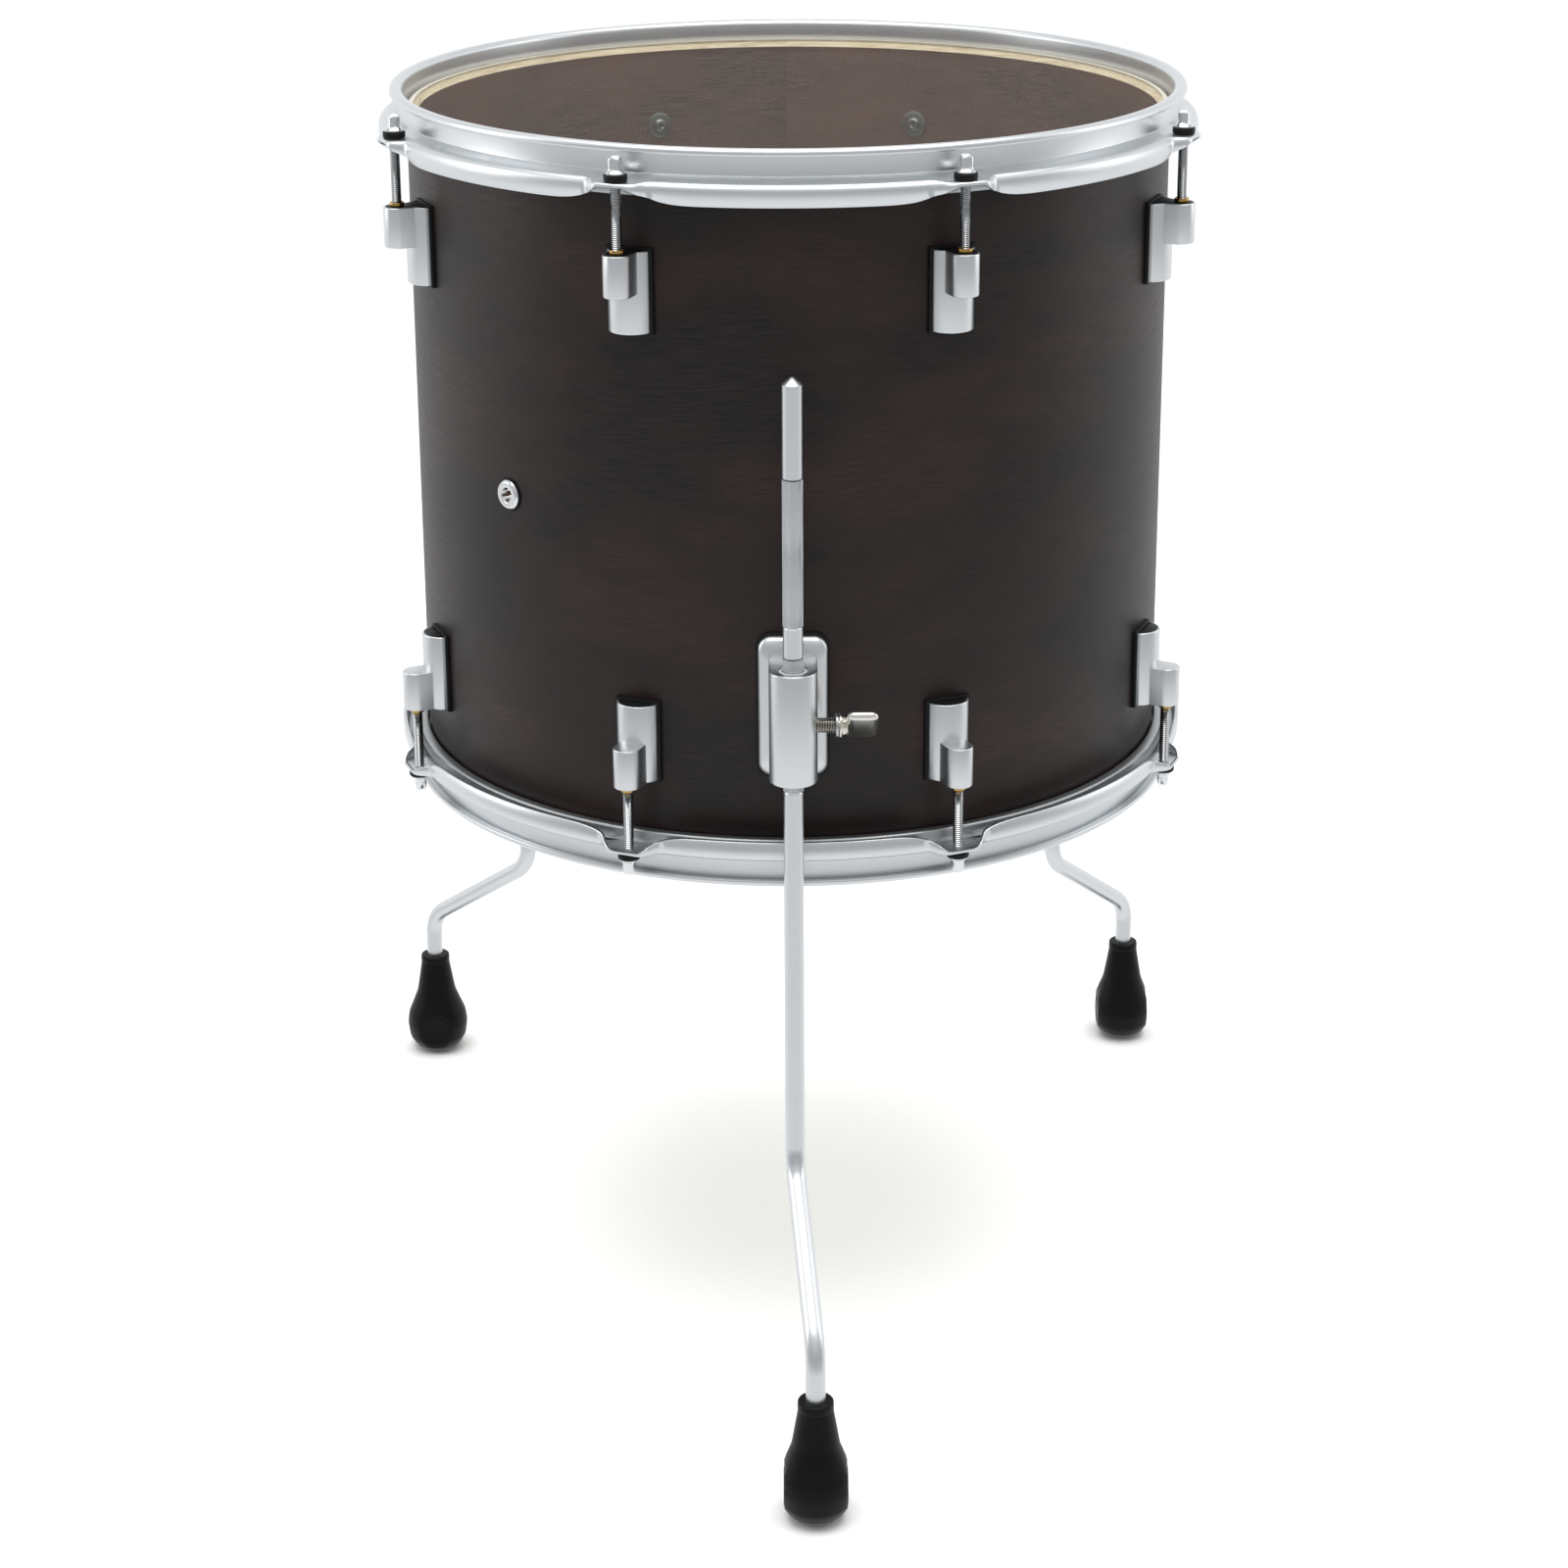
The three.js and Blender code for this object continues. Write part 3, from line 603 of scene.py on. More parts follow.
# Zinc-plated steel screws: cool grey, slightly dull
zinc_plate = metal_finish("zinc plated steel", "#a9adab", 0.9, 0.38, 0.5, 0.15)
for piece, finish, slot in (
    (castings, satin_chrome, "satin_chrome"),
    (end_shade_plates, black_nylon, "black_nylon"),
    (gaskets, black_nylon, "black_nylon"),
    (lug_washers, zinc_plate, "spring_steel"),
    (lug_screws, zinc_plate, "spring_steel"),
):
    set_round_drum(piece, finish, FIRST_LUG, copies=LUGS_PER_HEAD, ends=2)
    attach(piece, "shell_body")
nuts.data.transform(Matrix.Translation((0, 0, LUG_END * MM)))
set_round_drum(nuts, turned_brass, FIRST_LUG, ROD_CIRCLE, copies=LUGS_PER_HEAD, ends=2)
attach(nuts, "shell_body")
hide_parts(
    *[f"{side}_lug_{i + 1}" for side in ("batter", "resonant") for i in range(LUGS_PER_HEAD)]
)

# --- Heads ---------------------------------------------------------------------------------
# Clear polyester film, drawn down into a collar and crimped into an aluminium flesh hoop. The
# one on top is struck; the one underneath rings with it.
RIM = SHELL_HALF + 11.2
FILM_TOP, FILM = SHELL_HALF + 0.8, 0.5
COLLAR_OUTER, COLLAR_END = 204.4, RIM - 16.6
FLESH_INNER, FLESH_OUTER, FLESH_TOP, FLESH_BOTTOM = 203.7, 209.3, RIM - 16.9, RIM - 25
COLLAR_START = 199.6
# Each head's name, and whether it is the upper end turned over
HEADS = {"batter": 0, "resonant": 1}
film_under = FILM_TOP - FILM
film_profile = [(0, film_under), (COLLAR_START, film_under), (COLLAR_START, FILM_TOP), (0, FILM_TOP)]
collar_top = rounded(
    [(COLLAR_START, FILM_TOP), (SHELL_RADIUS - 0.9, FILM_TOP, 1.5), (COLLAR_OUTER, FILM_TOP - 3.4, 2.0),
     (COLLAR_OUTER, COLLAR_END)], 1.0, 5, False,
)
collar_under = rounded(
    [(COLLAR_OUTER - FILM, COLLAR_END), (COLLAR_OUTER - FILM, FILM_TOP - 3.5, 2.0),
     (SHELL_RADIUS - 1.3, film_under, 1.5), (COLLAR_START, film_under)], 1.0, 5, False,
)
collar_profile = np.concatenate([collar_top, collar_under])
flesh_profile = rounded(
    [(FLESH_INNER, FLESH_BOTTOM), (FLESH_OUTER, FLESH_BOTTOM), (FLESH_OUTER, FLESH_TOP),
     (FLESH_INNER, FLESH_TOP)],
    1.4, 4,
)


def film_finish(name, tint, haze):
    """Clear film: mostly seen through, and milky and glossy by its haze."""
    material, tree = start_finish(name)
    place = add_node(tree, "ShaderNodeTexCoord").outputs["Object"]
    # Its gloss varies in patches about 40 mm across
    wear = add_node(tree, "ShaderNodeTexNoise", {"Vector": place, "Scale": 25.0, "Detail": 5.0})
    gloss = add_node(
        tree, "ShaderNodeMapRange",
        {"Value": wear.outputs[0], "From Min": 0.3, "From Max": 0.7, "To Min": 0.06, "To Max": 0.14},
    )
    film = add_node(
        tree, "ShaderNodeBsdfPrincipled",
        {"Base Color": linear(tint), "Roughness": gloss.outputs[0], "IOR": 1.6},
    )
    clear = add_node(tree, "ShaderNodeBsdfTransparent", {"Color": linear("#fbfbf8")})
    mixed = add_node(tree, "ShaderNodeMixShader", {0: haze, 1: clear.outputs[0], 2: film.outputs[0]})
    add_node(tree, "ShaderNodeOutputMaterial", {"Surface": mixed.outputs[0]})
    return material


# Clear polyester: only its soft reflection and a faint haze show
clear_film = film_finish("clear polyester film", "#c9cac8", 0.03)
# The same film where it is stretched thick and bonded: milky cream
bonded_film = film_finish("bonded polyester collar", "#e9e4d6", 0.55)
# Extruded aluminium, mill finish: pale and soft
mill_aluminium = metal_finish("mill finish aluminium", "#b9bcbe", 0.92, 0.4, 0.6, 0.15)
for side, over in HEADS.items():
    for name, profile, segments, finish, node, slot in (
        ("head_film", film_profile, 128, clear_film, "head", "clear_film"),
        ("head_collar", collar_profile, 192, bonded_film, None, "clear_film"),
        ("head_flesh_hoop", flesh_profile, 192, mill_aluminium, "flesh_hoop", "aluminium"),
    ):
        piece = make_piece(f"{side}_{name}", turned(profile, segments))
        set_round_drum(piece, finish, turned_over=over)
        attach(piece, f"{side}_hoop_body")
        if node:
            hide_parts(f"{side}_{node}")

# --- Hoops ---------------------------------------------------------------------------------
# Pressed from 2.3 mm steel strip and satin chromed: a turned-out rim, a wall, a sloping flange
# and a folded skirt. The skirt sweeps up to a flat ear at each rod.
SHEET = 2.3
WALL_MIDDLE = 207.3 - SHEET / 2
RIM_MIDDLE = 211.7 - SHEET / 2
SKIRT_MIDDLE = 218.0 - SHEET / 2
EAR_MIDDLE = 225.2 - SHEET / 2
LIP_END, CREASE, FOLD, EAR_LEVEL, SKIRT_END = 3.6, 14.6, 17.7, 17.75, 27.0
EAR_TIP, EAR_ROOT = 8.5, 17.0
SWEEP_START, SWEEP_END, SWEEP_EASE = 7.0, 50.0, 4.2
FLANGE_KNEE = 211.6
LIP_ROUND, LIP_HALF = 0.35, 0.75


def smooth_step(low, high, value):
    """0 below the low value, 1 above the high one, and a smooth rise between."""
    share = min(max((value - low) / (high - low), 0), 1)
    return share * share * (3 - 2 * share)


def hoop_section(from_rod):
    """The closed section of the hoop at a distance along it from the nearest rod."""
    ear = 1 - smooth_step(EAR_TIP, EAR_ROOT, abs(from_rod))
    swept = np.clip((abs(from_rod) - SWEEP_START) / (SWEEP_END - SWEEP_START), 0, 1)
    skirt = 1 - (1 - swept) ** SWEEP_EASE
    end = SKIRT_MIDDLE + (EAR_MIDDLE - SKIRT_MIDDLE) * ear
    slope = (FLANGE_KNEE - WALL_MIDDLE) / (SKIRT_MIDDLE - WALL_MIDDLE)
    knee = (CREASE + (FOLD - CREASE) * slope) * (1 - ear) + EAR_LEVEL * ear
    middle = rounded(
        [
            (RIM_MIDDLE, -LIP_END),
            (RIM_MIDDLE, -SHEET / 2, 1.7),
            (WALL_MIDDLE, -SHEET / 2, 1.7),
            (WALL_MIDDLE, -CREASE, 1.6),
            (FLANGE_KNEE, -knee, 4.0),
            (end, -FOLD, 3.0),
            (end - 0.2 * ear, -(FOLD + 0.6 + (SKIRT_END - FOLD - 0.6) * skirt)),
        ],
        1.0, 5, False,
    )
    along = np.gradient(middle, axis=0)
    along /= np.linalg.norm(along, axis=1)[:, None]
    across = np.column_stack([-along[:, 1], along[:, 0]])
    start, stop = along[0] * LIP_ROUND, along[-1] * LIP_ROUND
    skins = []
    for side in (1, -1):
        skin = middle + across * side * SHEET / 2
        skin[0] += start
        skin[-1] -= stop
        lips = [middle[i] + across[i] * side * LIP_HALF for i in (0, -1)]
        skins.append(np.concatenate([lips[:1], skin, lips[1:]]))
    return np.concatenate([skins[0], skins[1][::-1]])


sector = 360 / LUGS_PER_HEAD
sector_half = math.radians(sector) / 2 * SKIRT_MIDDLE
# Stations along the hoop lie close together within this distance of a rod
NEAR, NEAR_STEP = 51, 1.5
near = np.arange(-NEAR, NEAR + 0.1, NEAR_STEP)
far = np.linspace(NEAR, sector_half, 9)[1:-1]
stations = np.concatenate([-far[::-1], near, far, [sector_half]])
rings = []
for lug in range(LUGS_PER_HEAD):
    for station in stations:
        angle = math.radians(FIRST_LUG + sector * lug) + station / SKIRT_MIDDLE
        section = hoop_section(station)
        out, level = section.T
        rings.append(np.column_stack([out * math.sin(angle), -out * math.cos(angle), level + RIM]))
for side, over in HEADS.items():
    hoop = make_piece(f"{side}_steel_hoop", lofted(rings, "joined"), sharp_above=50)
    set_round_drum(hoop, satin_chrome, turned_over=over)
    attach(hoop, f"{side}_hoop_body")
    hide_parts(f"{side}_hoop")

# --- Tension rods --------------------------------------------------------------------------
# Hardened steel, chromed: a rolled thread, and a flared collar under a square domed head for
# the drum key. Each bears on its ear through a black nylon washer.
ROD_SEAT, ROD_END = RIM - 16.2, RIM - 69
ROD_ROOT, ROD_PITCH, ROD_RIDGE = 2.18, 1.058, 0.5
ROD_WASHER, WASHER_HEIGHT = 5.8, 3.1
HEAD_FLARE, HEAD_HALF, HEAD_HEIGHT = 4.85, 2.85, 12.3
ROD_WASHER_BORE = 2.9


def thread_tree():
    """A screw thread wound on a round core that stands on the Z axis."""
    tree, given = start_tree(
        "Screw thread",
        {"Core": "Geometry", "Start": "Float", "Length": "Float", "Root radius": "Float", "Pitch": "Float",
         "Ridge": "Float", "Finish": "Material"},
        "Screw",
    )
    turns = add_node(tree, "ShaderNodeMath", {0: given["Length"], 1: given["Pitch"]}, operation="DIVIDE")
    helix = add_node(
        tree, "GeometryNodeCurveSpiral",
        {"Resolution": 18, "Rotations": turns.outputs[0], "Start Radius": given["Root radius"],
         "End Radius": given["Root radius"], "Height": given["Length"]},
    )
    upright = add_node(tree, "GeometryNodeSetCurveNormal", {0: helix.outputs[0]}, mode="Z_UP")
    ridge = add_node(tree, "GeometryNodeCurvePrimitiveCircle", {"Resolution": 4, "Radius": given["Ridge"]})
    wound = add_node(
        tree, "GeometryNodeCurveToMesh",
        {"Curve": upright.outputs[0], "Profile Curve": ridge.outputs[0], "Fill Caps": True},
    )
    lift = add_node(tree, "ShaderNodeCombineXYZ", {2: given["Start"]})
    placed = add_node(
        tree, "GeometryNodeTransform", {"Geometry": wound.outputs[0], "Translation": lift.outputs[0]}
    )
    flat = add_node(
        tree, "GeometryNodeSetShadeSmooth", {"Geometry": placed.outputs[0], "Shade Smooth": False}
    )
    joined = add_node(tree, "GeometryNodeJoinGeometry")
    tree.links.new(flat.outputs[0], joined.inputs[0])
    tree.links.new(given["Core"], joined.inputs[0])
    return end_tree(tree, joined.outputs[0], given["Finish"])


THREAD = thread_tree()


def mark_crests(piece, stretches, root, depth):
    """Stores how near each point is to the crest of a thread or a knurl: 1 on the crests and on every plain
    surface. The finishes paint shade into the grooves by it.
    """
    points = np.zeros(3 * len(piece.data.vertices), np.float32)
    piece.data.vertices.foreach_get("co", points)
    x, y, z = points.reshape(-1, 3).T / MM
    crest = np.ones(len(x), np.float32)
    for low, high in stretches:
        within = (z > low) & (z < high)
        crest[within] = np.clip((np.hypot(x, y)[within] - root) / depth, 0, 1)
    layer = piece.data.attributes.new("Crest", "FLOAT", "POINT")
    layer.data.foreach_set("value", crest)


def cut_thread(piece, finish, start, length, root, pitch, ridge):
    """Winds a thread on a piece and leaves it as a plain mesh."""
    modifier = piece.modifiers.new("Screw thread", "NODES")
    modifier.node_group = THREAD
    set_inputs(
        modifier,
        {"Start": start * MM, "Length": length * MM, "Root radius": root * MM, "Pitch": pitch * MM,
         "Ridge": ridge * MM, "Finish": finish},
    )
    make_plain(piece)
    mark_crests(piece, [(start, start + length)], root, ridge)


def key_ring(half, squareness, height, count=32):
    """A ring that goes from round, at a squareness of 2, to a square with soft corners."""
    angles = np.linspace(0, 2 * math.pi, count, endpoint=False)
    sides = np.abs(np.cos(angles)) ** squareness + np.abs(np.sin(angles)) ** squareness
    reach = half / sides ** (1 / squareness)
    return np.column_stack([reach * np.cos(angles), reach * np.sin(angles), np.full(count, height)])


rod_rings = [
    key_ring(half, squareness, height)
    for half, squareness, height in (
        (0.01, 2, ROD_END), (1.7, 2, ROD_END), (ROD_ROOT, 2, ROD_END + 0.7),
        (ROD_ROOT, 2, ROD_SEAT + WASHER_HEIGHT),
        (HEAD_FLARE - 0.3, 2, ROD_SEAT + WASHER_HEIGHT), (HEAD_FLARE, 2, ROD_SEAT + 3.4),
        (HEAD_FLARE, 2, ROD_SEAT + 4.0), (HEAD_FLARE - 0.4, 2, ROD_SEAT + 4.4), (3.7, 2.3, ROD_SEAT + 4.9),
        (3.1, 3, ROD_SEAT + 5.6), (HEAD_HALF, 5, ROD_SEAT + 6.6), (HEAD_HALF, 7, ROD_SEAT + 10.2),
        (HEAD_HALF - 0.3, 5, ROD_SEAT + 11.0), (2.0, 3, ROD_SEAT + 11.8), (1.0, 2, ROD_SEAT + 12.2),
        (0.01, 2, ROD_SEAT + HEAD_HEIGHT),
    )
]
rod_washer_profile = rounded(
    [(ROD_WASHER_BORE, ROD_SEAT), (ROD_WASHER, ROD_SEAT), (ROD_WASHER, ROD_SEAT + WASHER_HEIGHT),
     (ROD_WASHER_BORE, ROD_SEAT + WASHER_HEIGHT)], 0.5, 3,
)
# The same bright chrome, with painted shade darkening the roots of its thread
threaded_chrome = metal_finish(
    "bright chrome plate, rolled thread", "#e6e8ea", 0.97, 0.09, 0.5, 0.03, groove_shade="#101112"
)
for side, over in HEADS.items():
    for lug in range(LUGS_PER_HEAD):
        azimuth = FIRST_LUG + sector * lug
        rod = make_piece(f"{side}_tension_rod_{lug + 1}", lofted(rod_rings), sharp_above=40)
        cut_thread(rod, threaded_chrome, ROD_END + 1, ROD_SEAT - ROD_END - 1, ROD_ROOT, ROD_PITCH, ROD_RIDGE)
        set_round_drum(rod, threaded_chrome, azimuth, ROD_CIRCLE, turned_over=over)
        washer = make_piece(f"{side}_rod_washer_{lug + 1}", turned(rod_washer_profile, 40))
        set_round_drum(washer, black_nylon, azimuth, ROD_CIRCLE, turned_over=over)
        body = f"{side}_rod_{lug + 1}_body"
        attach(rod, body)
        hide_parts(f"{side}_rod_{lug + 1}")
        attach(washer, body)

# --- Leg brackets --------------------------------------------------------------------------
# Die-cast zinc, satin chromed: a pillow-shaped plate on a black gasket and an upright tube with
# a nylon bush for the leg. Two screws hold each from inside the shell.
LEGS = {"front": 0, "right": 135, "left": -135}
BRACKET_MIDDLE = 392.0 - MIDDLE
LEG_CIRCLE = 233.0
PLATE_HALF, PLATE_HEIGHT, PLATE_BACK, PLATE_FRONT, PLATE_CORNER = 17.5, 74.3, 203.8, 210.5, 7.0
TUBE_RADIUS, TUBE_HALF, BORE = 12.0, 29.0, 7.3
NECK_HALF, NECK_BACK, NECK_FRONT = 10.9, 207.5, 213.5
BUSH_OUTER, BUSH_INNER, BUSH_HALF = 7.2, 5.3, 28.6
BRACKET_SCREW_SPREAD = 27.0


def rounded_rectangle(half_width, half_height, corner):
    """The outline of a rectangle about its middle, with round corners."""
    return rounded(
        [(-half_width, -half_height), (half_width, -half_height), (half_width, half_height),
         (-half_width, half_height)], corner, 8,
    )


def pillow(levels, half_width, half_height, corner):
    """A plate on the wall: each level is a distance out and how far its sides and ends draw in."""
    rings = []
    for out, side, end in levels:
        plan = rounded_rectangle(half_width - side, half_height - end, max(corner - 0.4 * side, 1.5))
        rings.append(np.column_stack([plan[:, 0], np.full(len(plan), -out), plan[:, 1]]))
    return lofted(rings)


def bored_block(plan, centre, bore, low, high, bevel):
    """An upright block over a plan, with a round bore through it."""
    towards = plan - centre
    hole = centre + towards / np.linalg.norm(towards, axis=1)[:, None] * bore
    rings = []
    for height, margin in soft_ends(low, high, bevel):
        outer = inset(plan, margin)
        rings.append(np.column_stack([outer, np.full(len(plan), height)]))
    for height, wide in ((high, 0.5), (high - 0.5, 0), (low + 0.5, 0), (low, 0.5)):
        inner = hole + (hole - centre) * wide / bore
        rings.append(np.column_stack([inner, np.full(len(plan), height)]))
    return lofted(rings, "joined")


# How far out each level is, and how far its sides and its ends draw in: a crown that rises softly
plate_levels = [
    (PLATE_BACK, 0.5, 0.5), (PLATE_BACK + 0.4, 0.1, 0.1), (205.2, 0.0, 0.0), (206.3, 0.15, 0.3),
    (207.3, 0.6, 1.0), (208.3, 1.4, 2.2), (209.2, 2.7, 4.2), (209.8, 4.2, 6.4), (210.2, 6.0, 8.6),
    (PLATE_FRONT, 8.8, 11.5),
]
tube_turns = np.radians(np.linspace(180, 360, 41))
tube_nose = TUBE_RADIUS * np.column_stack([np.cos(tube_turns), np.sin(tube_turns)]) - [0, LEG_CIRCLE]
neck_side = np.array(
    [(NECK_HALF, -NECK_BACK), (NECK_HALF, -NECK_FRONT), (TUBE_RADIUS - 0.2, -NECK_FRONT - 0.3),
     (TUBE_RADIUS, -NECK_FRONT - 0.8)]
)
bracket_plan = np.concatenate([neck_side * [-1, 1], tube_nose, neck_side[::-1]])
bush_profile = rounded(
    [(BUSH_INNER, -BUSH_HALF), (BUSH_OUTER, -BUSH_HALF), (BUSH_OUTER, BUSH_HALF), (BUSH_INNER, BUSH_HALF)],
    0.3, 2,
)
bracket_gasket_levels = [(202.3, 0.2, 0.2), (202.5, 0, 0), (204.4, 0, 0), (204.7, 0.3, 0.3)]
# Injection-moulded nylon: off-white, slightly waxy
white_nylon = moulded_finish("natural nylon", "#b9bab6", "#cfd0cc", 0.4, 0.5, 0.15)
for side, azimuth in LEGS.items():
    bracket = make_piece(
        f"{side}_bracket_casting",
        pillow(plate_levels, PLATE_HALF, PLATE_HEIGHT / 2, PLATE_CORNER),
        bored_block(bracket_plan, np.array([0, -LEG_CIRCLE]), BORE, -TUBE_HALF, TUBE_HALF, 0.7),
    )
    gasket = make_piece(
        f"{side}_bracket_gasket",
        pillow(bracket_gasket_levels, PLATE_HALF + 1.0, PLATE_HEIGHT / 2 + 1.0, PLATE_CORNER + 1.0),
    )
    fixing = make_piece(
        f"{side}_bracket_screws",
        *[inside_wall(profile, height) for height in (-BRACKET_SCREW_SPREAD, BRACKET_SCREW_SPREAD)
          for profile in (flat_washer(2.5, 9.0, 1.5), screw_profile)],
    )
    for piece, finish, slot in (
        (bracket, satin_chrome, "satin_chrome"), (gasket, black_nylon, "black_nylon"),
        (fixing, zinc_plate, "spring_steel"),
    ):
        set_round_drum(piece, finish, azimuth, height=BRACKET_MIDDLE)
        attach(piece, "shell_body")
    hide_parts(f"{side}_leg_bracket")
    bush = make_piece(f"{side}_nylon_bush", turned(bush_profile, 48))
    set_round_drum(bush, white_nylon, azimuth, LEG_CIRCLE, BRACKET_MIDDLE)
    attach(bush, f"{side}_bush_body")
    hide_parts(f"{side}_leg_bush")

# --- Legs ----------------------------------------------------------------------------------
# Solid 10 mm steel rod, bent twice so that the foot stands clear of the shell, then satin
# chromed. Two stretches are rolled with a diamond knurl for the bracket to grip.
LEG_RADIUS, LEG_TOP, LEG_TIP, LEG_LOW = 5.0, 565.5, 3.5, 24.0
UPPER_BEND, LOWER_BEND, LEG_OFFSET, BEND_RADIUS = 151.0, 93.0, 86.0, 22.0
LEG_SWIVEL = 6.2
KNURLS = ((443.5, 518.5), (357.4, 427.4))
KNURL_COUNT, KNURL_STEP, KNURL_DEPTH, KNURL_RADIUS = 30, 1.5, 0.28, 5.08
CORE_RADIUS = 4.55

leg_path = rounded(
    [(0, LEG_TOP), (0, UPPER_BEND), (-LEG_OFFSET, LOWER_BEND), (-LEG_OFFSET, LEG_LOW)], BEND_RADIUS, 16, False
)
stretches = [
    (LEG_TOP + LEG_TIP, 0.01), (LEG_TOP + LEG_TIP - 0.2, 0.9), (LEG_TOP + 0.5, 4.3),
    (LEG_TOP - 0.2, LEG_RADIUS),
]
for low, high in KNURLS:
    stretches += [(high + 0.6, LEG_RADIUS), (high, CORE_RADIUS), (low, CORE_RADIUS), (low - 0.6, LEG_RADIUS)]
bar_stations = [((0, z), 0.0, radius) for z, radius in stretches]
steps = np.gradient(leg_path[1:-1], axis=0)
for place, step in zip(leg_path[1:-1], steps):
    bar_stations.append((place, math.atan2(-step[0], -step[1]), LEG_RADIUS))
bar_stations += [((-LEG_OFFSET, LEG_LOW + 1), 0.0, LEG_RADIUS), ((-LEG_OFFSET, LEG_LOW), 0.0, 4.4)]
round_turns = np.linspace(0, 2 * math.pi, 40, endpoint=False)
leg_rings = []
for (y, z), lean, radius in bar_stations:
    side_ways, fore = radius * np.cos(round_turns), radius * np.sin(round_turns)
    leg_rings.append(
        np.column_stack([side_ways, y + fore * math.cos(lean), z - fore * math.sin(lean)])
    )


def knurl_tree():
    """A sleeve of diamonds between two crossing sets of helical grooves, about the Z axis."""
    tree, given = start_tree(
        "Diamond knurl",
        {"Rod": "Geometry", "Low": "Float", "High": "Float", "Radius": "Float", "Depth": "Float",
         "Diamonds round": "Int", "Diamond height": "Float", "Finish": "Material"},
        "Knurled rod",
    )

    def sum_up(operation, *terms):
        return add_node(tree, "ShaderNodeMath", dict(enumerate(terms)), operation=operation).outputs[0]

    length = sum_up("SUBTRACT", given["High"], given["Low"])
    rows = sum_up("MULTIPLY", sum_up("DIVIDE", length, given["Diamond height"]), 4.0)
    columns = sum_up("MULTIPLY_ADD", given["Diamonds round"], 4.0, 1.0)
    sheet = add_node(
        tree, "GeometryNodeMeshGrid",
        {"Size X": 1.0, "Size Y": 1.0, "Vertices X": columns, "Vertices Y": rows},
    )
    flat = add_node(tree, "GeometryNodeInputPosition").outputs[0]
    spot = add_node(tree, "ShaderNodeSeparateXYZ", {0: flat}).outputs
    height = sum_up("MULTIPLY", sum_up("ADD", spot[1], 0.5), length)
    rise = sum_up("DIVIDE", height, given["Diamond height"])
    round_share = sum_up("MULTIPLY", spot[0], given["Diamonds round"])
    right_turn = sum_up("MULTIPLY", sum_up("ADD", round_share, rise), math.pi)
    left_turn = sum_up("MULTIPLY", sum_up("SUBTRACT", round_share, rise), math.pi)
    right = sum_up("ABSOLUTE", sum_up("SINE", right_turn))
    left = sum_up("ABSOLUTE", sum_up("SINE", left_turn))
    lift = sum_up("MULTIPLY", sum_up("MINIMUM", right, left), given["Depth"])
    # The sleeve's two ends dip under the rod's skin, so that no open edge shows
    end_gap = sum_up("MULTIPLY", sum_up("SUBTRACT", 0.5, sum_up("ABSOLUTE", spot[1])), length)
    dip = sum_up("MULTIPLY", sum_up("LESS_THAN", end_gap, 0.0002), 0.0008)
    reach = sum_up("SUBTRACT", sum_up("ADD", sum_up("SUBTRACT", given["Radius"], given["Depth"]), lift), dip)
    turn = sum_up("MULTIPLY", spot[0], 2 * math.pi)
    place = add_node(
        tree, "ShaderNodeCombineXYZ",
        {0: sum_up("MULTIPLY", reach, sum_up("SINE", turn)),
         1: sum_up("MULTIPLY", sum_up("MULTIPLY", reach, sum_up("COSINE", turn)), -1.0),
         2: sum_up("ADD", height, given["Low"])},
    )
    wrapped = add_node(
        tree, "GeometryNodeSetPosition", {"Geometry": sheet.outputs[0], "Position": place.outputs[0]}
    )
    closed = add_node(tree, "GeometryNodeMergeByDistance", {"Geometry": wrapped.outputs[0], "Distance": 1e-6})
    faceted = add_node(
        tree, "GeometryNodeSetShadeSmooth", {"Geometry": closed.outputs[0], "Shade Smooth": False}
    )
    joined = add_node(tree, "GeometryNodeJoinGeometry")
    tree.links.new(faceted.outputs[0], joined.inputs[0])
    tree.links.new(given["Rod"], joined.inputs[0])
    return end_tree(tree, joined.outputs[0], given["Finish"])


KNURL = knurl_tree()
# The same satin chrome, with painted shade greying the grooves of the knurl
knurled_chrome = metal_finish(
    "satin chrome plate, knurled", "#dfe2e4", 0.95, 0.33, 0.45, 0.12, groove_shade="#6d7073"
)
for side, azimuth in LEGS.items():
    leg = make_piece(f"{side}_steel_leg", lofted(leg_rings), sharp_above=30)
    for low, high in KNURLS:
        modifier = leg.modifiers.new("Diamond knurl", "NODES")
        modifier.node_group = KNURL
        set_inputs(
            modifier,
            {"Low": low * MM, "High": high * MM, "Radius": KNURL_RADIUS * MM, "Depth": KNURL_DEPTH * MM,
             "Diamonds round": KNURL_COUNT, "Diamond height": KNURL_STEP * MM, "Finish": knurled_chrome},
        )
    make_plain(leg)
    mark_crests(leg, KNURLS, KNURL_RADIUS - KNURL_DEPTH, 0.6 * KNURL_DEPTH)
    set_round_drum(leg, knurled_chrome, azimuth, LEG_CIRCLE, -MIDDLE, own_turn=LEG_SWIVEL)
    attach(leg, f"{side}_leg_body")
    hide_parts(f"{side}_leg")

